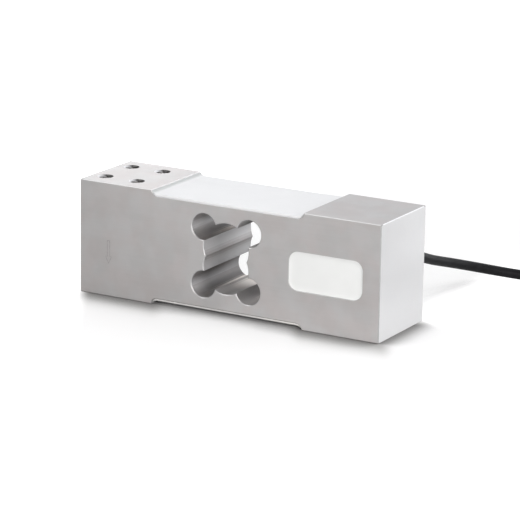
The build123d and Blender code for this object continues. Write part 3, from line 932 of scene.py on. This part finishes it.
# Rounded rectangle as (across, up)
def roundedSection(width, height, corner, steps=4):
    section = []
    for signX, signY, start in ((1, 1, 0), (-1, 1, 90), (-1, -1, 180), (1, -1, 270)):
        for step in range(steps + 1):
            angle = math.radians(start + 90 * step / steps)
            section.append((
                signX * (width / 2 - corner) + corner * math.cos(angle),
                signY * (height / 2 - corner) + corner * math.sin(angle),
            ))
    return section


# Section of a wire twisted from strands that the solder has run together
def strandedSection(radius, strands, groove, turn, sides=36):
    section = []
    for step in range(sides):
        angle = 2 * pi * step / sides
        hollow = groove * (1.0 - abs(math.cos(strands * (angle - turn) / 2)))
        section.append(((radius - hollow) * math.cos(angle), (radius - hollow) * math.sin(angle)))
    return section


# Silicone coats in the upper and the lower recess

coat = {
    "floor": 57.01,
    "thickness": 1.0,
    "halfLength": 40.54,        # where the recess floor turns into its rounded wall
    "wallRadius": 3.44,
    "wallCentre": 60.5,
    "halfWidth": {True: 23.94, False: 23.6},    # for the upper and the lower coat
    "lip": {True: 0.4, False: 0.0},             # how far the silicone hangs over the cut edge
    "edgeFoot": 0.26,           # how far the foot and then the lip stand in from the edge
    "lipFoot": 0.04,
    "edgeFrom": 0.2,            # share of the thickness where the edge's widest part starts
    "edgeRound": 0.4,
    "creepUp": 1.5,             # how far it climbs the rounded wall
    "creepWidth": 1.0,
    "unevenness": 0.035,        # how far the top and the edge wander, and how quickly
    "wavesPerMm": (0.07, 0.09),
    "evenWithin": 3.0,          # the unevenness fades out towards the edges
    "edgeWander": 0.05,
    "wanderPerMm": 0.11,
    "sideShift": 3.1,           # so that the two edges don't wander alike
    "stepsAlong": 60,           # from the middle to each end
    "stepsAcross": 40,
    "stepsRound": 6,
    "seed": {True: 0.0, False: 7.3},
}


def coatBottom(x):
    over = abs(x) - coat["halfLength"]
    if over <= 0:
        return coat["floor"]
    rise = math.sqrt(max(coat["wallRadius"] ** 2 - over ** 2, 0.0))
    return max(coat["floor"], coat["wallCentre"] - rise)


# Edge of the coat on one side, from its foot up, as (across, share of the thickness)
def coatEdge(x, side, upper):
    spot = (x * coat["wanderPerMm"], side * coat["sideShift"], coat["seed"][upper])
    wander = coat["edgeWander"] * noise.noise(Vector(spot))
    half = coat["halfWidth"][upper] - coat["edgeWander"] + wander
    turn = coat["edgeRound"]
    over = max(0.0, abs(x) - coat["halfLength"])
    lip = coat["lip"][upper] * max(0.0, 1.0 - over / coat["wallRadius"])
    edge = [(half - coat["edgeFoot"], 0.0), (half - coat["lipFoot"], -lip)]
    edge.append((half, coat["edgeFrom"]))
    for step in range(coat["stepsRound"] + 1):
        angle = pi / 2 * step / coat["stepsRound"]
        edge.append((half - turn + turn * math.cos(angle), 1.0 - turn + turn * math.sin(angle)))
    return [(side * y, share) for y, share in edge], half - turn


def makeCoat(name, node, upper):
    top = coat["floor"] + coat["thickness"]
    drop = coat["wallCentre"] - (top + coat["creepUp"])
    endX = coat["halfLength"] + math.sqrt(coat["wallRadius"] ** 2 - drop ** 2)
    along, across = coat["stepsAlong"], coat["stepsAcross"]
    wavesX, wavesY = coat["wavesPerMm"]
    stations = [endX * math.sin(pi / 2 * step / along) for step in range(-along, along + 1)]
    points = []
    for x in stations:
        low = coatBottom(x)
        height = top + coat["creepUp"] * math.exp(-(endX - abs(x)) / coat["creepWidth"]) - low
        left, inner = coatEdge(x, -1, upper)
        right = coatEdge(x, 1, upper)[0]
        flat = [(-inner + 2 * inner * step / across, 1.0) for step in range(1, across)]
        for y, share in left + flat + right[::-1]:
            bump = 0.0
            if share > 0.99:                   # only the top is uneven
                spot = Vector((x * wavesX, y * wavesY, coat["seed"][upper]))
                away = min(1.0, (coat["halfWidth"][upper] - abs(y)) / coat["evenWithin"])
                bump = coat["unevenness"] * away * noise.noise(spot)
                bump *= min(1.0, (endX - abs(x)) / coat["evenWithin"])
            z = low + height * share + bump
            points.append((x, y, z if upper else beamHeight - z))
    faces = bodyFaces(len(stations), len(points) // len(stations))
    piece = newPiece(name, points, faces, "coatSilicone", "white_silicone")
    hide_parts(node)


makeCoat("topGaugeCoat", "gauge_coating_top", True)
makeCoat("bottomGaugeCoat", "gauge_coating_bottom", False)
print("gauge coats ready")

# Silicone that fills the terminal pocket, hollow at its face where it shrank from the rim

potting = {
    "centre": (56.7, 30.0),
    "size": (41.0, 20.0),
    "corner": 5.0,
    "leastCorner": 0.02,
    "gap": 0.04,
    "rimDrop": 0.12,
    "straight": 2.0,            # depth of the fill's straight side behind the beam's face
    "sink": 0.55,               # how far the face sinks, and over what distance
    "slope": 1.0,
    "depth": 21.9,
    "insets": (0.0, 0.12, 0.3, 0.55, 0.85, 1.2, 1.7, 2.3, 3.0, 3.8, 4.7, 5.8, 7.2, 8.6, 9.4),
    "unevenness": 0.05,
    "wavesPerMm": 0.16,
    "seed": 2.0,
    "evenWithin": 3.0,
    "stepsPerCorner": 10,
    "stepsPerSide": 12,
}


# Outline of the pocket, with the same number of points at every inset
def pocketRing(inset):
    perCorner, perSide = potting["stepsPerCorner"], potting["stepsPerSide"]
    width, height = (side - 2 * inset for side in potting["size"])
    corner = max(potting["corner"] - inset, potting["leastCorner"])
    outline = roundedSection(width, height, corner, perCorner)
    outline = outline[-perCorner - 1:] + outline[:-perCorner - 1]
    middleX, middleZ = potting["centre"]
    ring = []
    for index, (x, z) in enumerate(outline):
        nextX, nextZ = outline[(index + 1) % len(outline)]
        steps = perSide if index % (perCorner + 1) == perCorner else 1
        for step in range(steps):
            share = step / steps
            ring.append((middleX + x + (nextX - x) * share, middleZ + z + (nextZ - z) * share))
    return ring


def makePotting():
    points = []
    backY = frontY + potting["depth"]
    rings = [(potting["gap"], backY), (potting["gap"], frontY + potting["straight"])]
    for inset in potting["insets"]:
        sunk = potting["sink"] * (1.0 - math.exp(-inset / potting["slope"]))
        rings.append((potting["gap"] + inset, frontY + potting["rimDrop"] + sunk))
    waves = potting["wavesPerMm"]
    for inset, y in rings:
        wave = potting["unevenness"] * min(1.0, inset / potting["evenWithin"])
        for x, z in pocketRing(inset):
            spot = Vector((x * waves, z * waves, potting["seed"]))
            points.append((x, y + wave * noise.noise(spot), z))
    faces = bodyFaces(len(rings), len(points) // len(rings))
    piece = newPiece("pocketPottingFill", points, faces, "pottingSilicone", "white_silicone")
    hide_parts("pocket_potting")


makePotting()
print("potting ready")

# Threads in the mounting holes

thread = {
    "endX": 79.0,
    "spacing": (19.0, 25.0),
    "wallRadius": 3.42,
    "crestRadius": 3.12,
    "crestHalf": 0.08,          # half width of a ridge's crest
    "pitch": 1.25,
    "rootHalf": 0.42,           # and of its root, as a share of the pitch
    "start": 0.9,
    "depth": 14.0,
    "stepsPerTurn": 24,
    "fadeSteps": 10.0,          # a ridge rises and falls within this many steps
}


# One ridge that winds down a hole, as rings of its triangular section
def threadRidge(x, y, upper):
    perTurn, wall = thread["stepsPerTurn"], thread["wallRadius"]
    total = int(thread["depth"] / thread["pitch"] * perTurn)
    half = thread["pitch"] * thread["rootHalf"]
    flat = thread["crestHalf"]
    points = []
    for step in range(total + 1):
        angle = 2 * pi * step / perTurn
        down = thread["start"] + half + thread["pitch"] * step / perTurn
        fade = min(1.0, step / thread["fadeSteps"], (total - step) / thread["fadeSteps"])
        crest = wall - (wall - thread["crestRadius"]) * fade
        for radius, shift in ((wall, -half), (crest, -flat), (crest, flat), (wall, half)):
            depth = down + shift
            z = beamHeight - depth if upper else depth
            points.append((x + radius * math.cos(angle), y + radius * math.sin(angle), z))
    return points, ringFaces(total + 1, 4)


def makeThreads(name, upper):
    outward = -1 if upper else 1
    ridges = []
    for column in (0, 1):
        for row in (-1, 1):
            x = outward * (thread["endX"] - column * thread["spacing"][0])
            ridges.append(threadRidge(x, row * thread["spacing"][1] / 2, upper))
    newPiece(name, *joinMeshes(ridges), "cutThread", "beam_aluminium")


makeThreads("loadEndThreads", True)
makeThreads("fixedEndThreads", False)
print("threads ready")

# Outline arrow engraved in the front face, that shows which way the load acts

arrow = {
    "x": -69.65,
    "top": 29.7,
    "shoulder": 21.35,
    "tip": 17.25,
    "shaftHalf": 0.87,
    "headHalf": 2.0,
    "line": 0.28,
    "proud": 0.008,
}


def arrowOutline(inset):
    length = arrow["shoulder"] - arrow["tip"]
    slope = math.hypot(arrow["headHalf"], length)
    tipShift = inset * slope / arrow["headHalf"]
    shoulder = arrow["shoulder"] - inset
    headHalf = arrow["headHalf"] - inset * slope / length - inset * arrow["headHalf"] / length
    shaft = arrow["shaftHalf"] - inset
    right = [
        (shaft, arrow["top"] - inset),
        (shaft, shoulder),
        (headHalf, shoulder),
        (0.0, arrow["tip"] + tipShift),
    ]
    left = [(-x, z) for x, z in right[-2::-1]]
    return [(arrow["x"] + x, z) for x, z in right + left]


def makeArrow():
    y = frontY - arrow["proud"]
    rings = [arrowOutline(0.0), arrowOutline(arrow["line"])]
    points = [(x, y, z) for ring in rings for x, z in ring]
    faces = ringFaces(2, len(rings[0]))
    newPiece("loadArrow", points, faces, "engravedLine", "beam_aluminium", smooth=False)


makeArrow()
print("arrow ready")

# Nylon ties round the wound turns, each with its lock and the cut end of its strap

tie = {
    "angles": (150.0, 290.0),
    "width": 2.5,
    "thickness": 0.76,
    "clearance": 0.10,
    "strapCorner": 0.2,
    "headSize": (4.6, 4.0, 2.4),
    "headCorner": 0.45,
    "headSink": 0.2,
    "cutEnd": 1.3,
    "cutEndThicker": 0.1,
    "cutEndHeight": 0.55,       # share of the lock's height
    "cornerSteps": 9,
}


def roundedBlock(centre, size, corner, layers=4):
    length, width, height = size
    rings = []
    for step in range(layers + 1):
        angle = pi / 2 * step / layers
        rings.append((-height / 2 + corner * (1 - math.sin(angle)), corner * (1 - math.cos(angle))))
    rings += [(-z, inset) for z, inset in reversed(rings)]
    points = []
    for z, inset in rings:
        for x, y in roundedSection(length - 2 * inset, width - 2 * inset, corner):
            points.append(Vector(centre) + Vector((x, y, z)))
    return points, bodyFaces(len(rings), len(points) // len(rings))


# One tie where the coil crosses the X axis, with the coil's middle at 0
def tieParts():
    size = cable["diameter"]
    grow = tie["clearance"] + tie["thickness"] / 2
    halfWidth = coil["turnsAcross"] * size / 2 + grow
    halfHeight = size + grow
    middleZ = coil["base"] + size
    corner = size / 2 + grow
    around = roundedSection(2 * halfWidth, 2 * halfHeight, corner, tie["cornerSteps"])
    strap = sweptTie([(coil["radius"] + x, 0.0, middleZ + z) for x, z in around])

    length, width, height = tie["headSize"]
    sink = tie["headSink"]
    top = middleZ + halfHeight + tie["thickness"] / 2
    headPlace = (coil["radius"], 0.0, top + height / 2 - sink)
    head = roundedBlock(headPlace, (length, width, height + 2 * sink), tie["headCorner"])
    endPlace = (coil["radius"], 0.0, top + height * tie["cutEndHeight"])
    endSize = (length + 2 * tie["cutEnd"], tie["width"], tie["thickness"] + tie["cutEndThicker"])
    cutEnd = roundedBlock(endPlace, endSize, tie["strapCorner"])
    return joinMeshes((strap, head, cutEnd))


# The strap keeps its flat side towards the turns all the way round
def sweptTie(loop):
    count = len(loop)
    section = roundedSection(tie["thickness"], tie["width"], tie["strapCorner"], 2)
    points = []
    for index, place in enumerate(loop):
        ahead = (Vector(loop[(index + 1) % count]) - Vector(loop[index - 1])).normalized()
        across = Vector((0.0, 1.0, 0.0))
        outward = ahead.cross(across)
        for depth, side in section:
            points.append(Vector(place) + outward * depth + across * side)
    size = len(section)
    faces = ringFaces(count, size)
    last = (count - 1) * size
    for index in range(size):
        after = (index + 1) % size
        faces.append((last + index, last + after, after, index))
    return points, faces


def makeTies():
    points, faces = tieParts()
    centre = Vector((*coil["centre"], 0.0))
    parts = []
    for angle in tie["angles"]:
        turn = Matrix.Rotation(math.radians(angle), 3, "Z")
        parts.append(([centre + turn @ Vector(point) for point in points], faces))
    piece = newPiece("coilTieStraps", *joinMeshes(parts), "tieNylon", "tie_nylon")
    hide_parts("coil_ties")


makeTies()
print("ties ready")

# Stripped end of the cable: shrunk sleeve, five cores and their tinned ends

sleeve = {
    "length": 10.0,
    "pastEnd": 2.0,
    "wall": 0.4,
    # Profile as (distance, how far inside the sleeve's radius): from its start, then from its end
    "startSteps": ((0.05, 0.18), (-0.1, 0.04)),
    "endSteps": (
        (0.1, 0.02), (-0.5, 0.35), (-1.2, 0.55), (-1.8, 0.62),
        (-2.0, 0.75), (-1.9, 0.95), (-1.2, 1.0), (0.05, 1.05),
    ),
    "grip": (0.02, 0.1),        # where its inner edge meets the sheath, and how deep
    "waveSteps": 9,             # slight waves between start and end
    "wavesEnd": 0.6,
    "waveHeight": 0.03,
    "waveTurn": 1.9,
    "sides": 32,
    "turnWithin": 0.3,          # distance over which its direction is read
}
strippedEnd = {
    "coreLength": 34.0,
    "lengthStep": 1.5,          # each core is cut this much longer than the one before
    "coreSpread": 6.0,
    "spreadShift": 0.3,
    "coreDiameter": 1.0,
    "coreCircle": 1.35,         # radius of the circle on which they leave the cable
    "cutRounding": 0.04,
    "floorGap": 0.06,
    "bow": 0.9,                 # how far a core bows aside, and how that differs between them
    "bowTurn": (2.1, 0.6),
    "drainRadius": 0.42,        # the drain is bare strands
    "strands": 7,
    "drainGroove": 0.07,
    "drainTwist": 0.35,
    "tipLength": 6.0,
    "tipInside": 0.3,
    "tipDiameter": 0.7,
    "tipGroove": 0.05,
    "tipTwist": 0.26,
    "tipTaper": 0.45,
    "tipSteps": 24,
}
coreNames = list(coreFinishes)
tailEnd = Vector(tailRun[-1])
tailForward = (tailEnd - Vector(tailRun[-2])).normalized()
tailAcross = Vector((0, 0, 1)).cross(tailForward)


# Point of the bend that a smooth line makes from start to end round its control
def bendPoint(start, control, end, part):
    rest = 1 - part
    return start * rest ** 2 + control * 2 * part * rest + end * part * part


# The last span of the cable's smooth line, as places with their distance from the end
def tailLine(steps=40):
    start = (Vector(tailRun[-3]) + Vector(tailRun[-2])) / 2
    line, travelled = [(0.0, tailEnd)], 0.0
    for step in range(1, steps + 1):
        place = bendPoint(start, Vector(tailRun[-2]), tailEnd, 1.0 - step / steps)
        travelled += (place - line[-1][1]).length
        line.append((travelled, place))
    return line


def placeOnTail(line, back):
    if back <= 0:
        return tailEnd - tailForward * back
    for (near, first), (far, second) in zip(line, line[1:]):
        if far >= back:
            return first + (second - first) * ((back - near) / (far - near))
    return line[-1][1]


def makeSleeve():
    line = tailLine()
    sheath = cable["diameter"] / 2
    outer = sheath + sleeve["wall"]
    start = sleeve["length"] - sleeve["pastEnd"]
    gripAt, gripDepth = sleeve["grip"]
    profile = [(start + gripAt, sheath - gripDepth)]
    profile += [(start + back, outer - inside) for back, inside in sleeve["startSteps"]]
    for step in range(1, sleeve["waveSteps"] + 1):
        back = start - step * (start - sleeve["wavesEnd"]) / sleeve["waveSteps"]
        profile.append((back, outer + sleeve["waveHeight"] * math.sin(back * sleeve["waveTurn"])))
    profile += [(back, outer - inside) for back, inside in sleeve["endSteps"]]
    points = []
    near = sleeve["turnWithin"]
    for back, radius in profile:
        ahead = (placeOnTail(line, back - near) - placeOnTail(line, back + near)).normalized()
        across = Vector((0, 0, 1)).cross(ahead).normalized()
        up = ahead.cross(across)
        for x, y in circleSection(radius, sleeve["sides"]):
            points.append(placeOnTail(line, back) + across * x + up * y)
    faces = ringFaces(len(profile), sleeve["sides"])
    piece = newPiece("cutEndSleeve", points, faces, "shrunkSleeve", "shrink_sleeve")
    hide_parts("end_sleeve")


def coreOffset(index):
    angle = math.radians(90 + index * 360 / len(coreNames))
    return strippedEnd["coreCircle"] * math.cos(angle), strippedEnd["coreCircle"] * math.sin(angle)


# Control points of a free core: out of the sleeve, down and fanned out
def coreControls(index):
    look = strippedEnd
    side, up = coreOffset(index)
    order = sorted(range(len(coreNames)), key=lambda other: coreOffset(other)[0])
    turn, phase = look["bowTurn"]
    rank = order.index(index) - (len(coreNames) - 1) / 2
    fan = (rank + look["spreadShift"]) * look["coreSpread"]
    ground = look["coreDiameter"] / 2 + look["floorGap"] - tailEnd.z
    length = look["coreLength"] + look["lengthStep"] * (index - 2)
    bow = look["bow"] * math.sin(turn * index + phase)
    steps = [
        (0.0, side, up), (5.0, side, up), (12.0, fan * 0.30, ground * 0.7),
        (18.0, fan * 0.55, ground), (26.0, fan * 1.0 + bow, ground), (length, fan * 1.4, ground),
    ]
    return [tailEnd + tailForward * f + tailAcross * s + Vector((0, 0, u)) for f, s, u in steps]


def smoothPath(controls, perSpan=8):
    path = []
    last = len(controls) - 2
    for index in range(1, last + 1):
        before, control, after = controls[index - 1:index + 2]
        start = before if index == 1 else (before + control) / 2
        end = after if index == last else (control + after) / 2
        path += [bendPoint(start, control, end, step / perSpan) for step in range(perSpan)]
    path.append(controls[-1])
    return path


# Tinned strands that stand out of a core's cut end and taper at their own end
def coreTip(end, ahead):
    look, steps = strippedEnd, strippedEnd["tipSteps"]
    reach = look["tipLength"] + look["tipInside"]
    path, sections = [], []
    for step in range(steps + 1):
        path.append(end - ahead * look["tipInside"] + ahead * reach * step / steps)
        taper = 1 - look["tipTaper"] * max(0.0, (step - steps + 2) / 2)
        radius, turn = look["tipDiameter"] / 2 * taper, look["tipTwist"] * step
        sections.append(strandedSection(radius, look["strands"], look["tipGroove"], turn))
    return sweptMesh(path, sections)


def makeCores():
    look = strippedEnd
    radius = look["coreDiameter"] / 2
    tips = []
    for index, core in enumerate(coreNames):
        controls = coreControls(index)
        path = smoothPath(controls)
        if core == "drain":
            slot = "tinned_wire"
            wire = (look["drainRadius"], look["strands"], look["drainGroove"])
            turns = [look["drainTwist"] * step for step in range(len(path))]
            sections = [strandedSection(*wire, turn) for turn in turns]
        else:
            slot = f"core_{core}"
            sections = [circleSection(radius)] * (len(path) - 1)
            sections.append(circleSection(radius - look["cutRounding"]))
        points, faces = sweptMesh(path, sections)
        name = f"freeCore{core.capitalize()}"
        piece = newPiece(name, points, faces, coreFinishes[core], slot)
        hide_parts(f"tail_core_{core}")
        tips.append(coreTip(path[-1], (controls[-1] - controls[-2]).normalized()))
    piece = newPiece("tinnedCoreTips", *joinMeshes(tips), "tinnedWire", "tinned_wire")
    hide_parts("tinned_tips")


makeSleeve()
makeCores()
print("stripped end ready")

# Floor, studio and lamps. The floor's places are in metres

studio = {
    "floorSize": 8.0,
    "floorColour": (0.50, 0.50, 0.50, 1.0),
    "floorLift": 0.54,          # added where the camera or metal sees the floor, so that it's white
    "farLift": 0.95,            # the same far from the object, where less light reaches the floor
    "farFrom": (0.16, 0.7),
    "shadowReach": 0.022,       # the lift fades within this distance of what stands on the floor
    "shadowFade": (0.50, 0.95),
    "shadowSamples": 8,
    "padMiddle": 0.0655,        # the two pads that the beam stands on
    "padHalf": (0.0215, 0.024),
    "padReach": (0.006, 0.015),
    "padShade": 0.48,
    "shadeTint": (1.0, 0.985, 0.965, 1.0),
    "lean": 0.57,               # how far the shade moves along X for each step out in front
    "leftEnd": (-0.0800, -0.0900),    # the shade ends between these places along X
    "leftLift": 0.3,
    "rightEnd": (0.070, 0.083),       # and at the back right between these along X and Y
    "backEnd": (0.014, 0.028),
    "underPast": 0.0005,
    "roomColour": (0.975, 0.98, 1.0, 1.0),
    "brightSide": (0.0, 1.0, 0.2),
    "roomLevels": (0.0, 1.0, 0.20, 1.30),    # dim in front, bright behind
}


# Distance past a pad's half size along one axis, in reaches and squared
def pastPad(tree, distance, half, reach):
    away = mathNode(tree, "MAXIMUM", mathNode(tree, "SUBTRACT", distance, half), 0.0)
    return mathNode(tree, "POWER", mathNode(tree, "DIVIDE", away, reach), 2.0)


# Darkening next to the two pads as a share of the light, where it ends, and what isn't below them
def padShadow(tree, place):
    x, y = splitVector(tree, place)[:2]
    halfX, halfY = studio["padHalf"]
    reachX, reachY = studio["padReach"]
    inFront = mathNode(tree, "ADD", mathNode(tree, "MINIMUM", y, -halfY), halfY)
    leaning = mathNode(tree, "ADD", x, allOf(tree, inFront, studio["lean"]))
    alongX = mathNode(tree, "ABSOLUTE", leaning)
    alongY = mathNode(tree, "ABSOLUTE", y)
    fromPad = mathNode(tree, "SUBTRACT", alongX, studio["padMiddle"])
    pastX = pastPad(tree, mathNode(tree, "ABSOLUTE", fromPad), halfX, reachX)
    pastY = pastPad(tree, alongY, halfY, reachY)
    away = mathNode(tree, "ADD", pastX, pastY)
    shade = mathNode(tree, "EXPONENT", allOf(tree, away, -1.0))
    shade = allOf(tree, shade, studio["padShade"])
    pastLeft = easeNode(tree, leaning, *studio["leftEnd"])
    pastRight = easeNode(tree, x, *studio["rightEnd"])
    pastBack = easeNode(tree, y, *studio["backEnd"])
    ended = mathNode(tree, "MAXIMUM", pastLeft, allOf(tree, pastRight, pastBack))
    shade = allOf(tree, shade, mathNode(tree, "SUBTRACT", 1.0, ended))
    underX = below(tree, alongX, studio["padMiddle"] + halfX)
    underY = below(tree, alongY, halfY + studio["underPast"])
    beside = mathNode(tree, "SUBTRACT", 1.0, allOf(tree, underX, underY))
    return shade, ended, beside


def makePaleFloor():
    material = bpy.data.materials.new("paleFloor")
    material.use_nodes = True
    tree = material.node_tree
    tree.nodes.remove(tree.nodes["Principled BSDF"])
    place = shaderNode(tree, "ShaderNodeTexCoord").outputs["Object"]
    path = shaderNode(tree, "ShaderNodeLightPath").outputs
    direct = path["Is Camera Ray"]
    shade, ended, beside = padShadow(tree, place)
    kept = mathNode(tree, "SUBTRACT", 1.0, allOf(tree, shade, direct))
    tint = mixColour(tree, kept, studio["shadeTint"], (1.0, 1.0, 1.0, 1.0))
    shaded = vectorNode(tree, "SCALE", tint, kept)
    matt = shaderNode(tree, "ShaderNodeBsdfDiffuse")
    colour = mixColour(tree, 1.0, shaded, studio["floorColour"], "MULTIPLY")
    tree.links.new(colour, matt.inputs["Color"])

    near = shaderNode(tree, "ShaderNodeAmbientOcclusion", samples=studio["shadowSamples"])
    near.inputs["Distance"].default_value = studio["shadowReach"]
    clear = easeNode(tree, near.outputs["AO"], *studio["shadowFade"])
    clear = allOf(tree, mathNode(tree, "MAXIMUM", clear, ended), direct)
    mirrored = mathNode(tree, "MAXIMUM", path["Is Glossy Ray"], path["Is Transmission Ray"])
    clear = mathNode(tree, "MAXIMUM", clear, allOf(tree, mirrored, beside))
    distance = shaderNode(tree, "ShaderNodeVectorMath", operation="LENGTH")
    tree.links.new(place, distance.inputs[0])
    lifts = (studio["floorLift"], studio["farLift"])
    lift = easeNode(tree, distance.outputs["Value"], *studio["farFrom"], *lifts)
    extra = allOf(tree, ended, direct, studio["leftLift"])
    strength = mathNode(tree, "ADD", allOf(tree, lift, clear), extra)

    glow = shaderNode(tree, "ShaderNodeEmission")
    tree.links.new(shaded, glow.inputs["Color"])
    tree.links.new(strength, glow.inputs["Strength"])
    both = shaderNode(tree, "ShaderNodeAddShader")
    tree.links.new(matt.outputs[0], both.inputs[0])
    tree.links.new(glow.outputs[0], both.inputs[1])
    tree.links.new(both.outputs[0], tree.nodes["Material Output"].inputs["Surface"])
    return material


def makeFloor():
    half = studio["floorSize"] / 2
    mesh = bpy.data.meshes.new("floorSheet")
    corners = [(-half, -half, 0), (half, -half, 0), (half, half, 0), (-half, half, 0)]
    mesh.from_pydata(corners, [], [(0, 1, 2, 3)])
    mesh.materials.append(makePaleFloor())
    piece = bpy.data.objects.new("floorSheet", mesh)
    bpy.context.scene.collection.objects.link(piece)


def makeRoom():
    world = bpy.data.worlds.new("studioRoom")
    bpy.context.scene.world = world
    world.use_nodes = True
    tree = world.node_tree
    background = tree.nodes["Background"]
    background.inputs["Color"].default_value = studio["roomColour"]
    place = shaderNode(tree, "ShaderNodeTexCoord").outputs["Generated"]
    towards = shaderNode(tree, "ShaderNodeVectorMath", operation="DOT_PRODUCT")
    tree.links.new(place, towards.inputs[0])
    towards.inputs[1].default_value = Vector(studio["brightSide"]).normalized()
    level = easeNode(tree, towards.outputs["Value"], *studio["roomLevels"])
    tree.links.new(level, background.inputs["Strength"])


lamps = {
    "frontLeftPanel": {
        "place": (-500, -900, 400), "looksAt": (0, 0, 30), "size": (400, 400),
        "power": 1.024, "colour": (1.0, 0.995, 0.975),
    },
    "frontRightPanel": {
        "place": (500, -900, 500), "looksAt": (0, 0, 30), "size": (400, 400),
        "power": 5.5, "colour": (1.0, 0.96, 0.95),
    },
    "overheadPanel": {
        "place": (-450, -250, 850), "looksAt": (0, 0, 40), "size": (420, 420),
        "power": 2.32, "colour": (1.0, 1.0, 1.0),
    },
    "lowRightPanel": {
        "place": (750, -430, 140), "looksAt": (40, 0, 30), "size": (560, 440),
        "power": 2.1, "colour": (1.0, 0.985, 0.98),
    },
    "lowRightCard": {
        "place": (480, -20, 90), "looksAt": (87, 0, 20), "size": (260, 140),
        "power": 0.10, "colour": (0.985, 0.995, 1.0),
    },
    "rightCard": {
        "place": (330, 60, 160), "looksAt": (87, 0, 30), "size": (200, 200),
        "power": 0.12, "colour": (0.98, 0.99, 1.0),
    },
    "backRightPanel": {
        "place": (560, 640, 130), "looksAt": (87, 0, 30), "size": (700, 240),
        "power": 1.55, "colour": (0.97, 0.985, 1.0),
    },
    "backLeftCard": {
        "place": (-330, 350, 170), "looksAt": (-70, 0, 60), "size": (220, 160),
        "power": 0.193, "colour": (1.0, 1.0, 1.0),
    },
}


def makeLamps():
    for name, lamp in lamps.items():
        data = bpy.data.lights.new(name, "AREA")
        data.shape = "RECTANGLE"
        data.size, data.size_y = (side * mm for side in lamp["size"])
        data.energy = lamp["power"]
        data.color = lamp["colour"]
        piece = bpy.data.objects.new(name, data)
        piece.location = inMetres(lamp["place"])
        aim = inMetres(lamp["looksAt"]) - piece.location
        piece.rotation_mode = "QUATERNION"
        piece.rotation_quaternion = aim.to_track_quat("-Z", "Y")
        bpy.context.scene.collection.objects.link(piece)


makeFloor()
makeRoom()
makeLamps()
bpy.context.scene.view_settings.view_transform = "Standard"
print("studio ready")
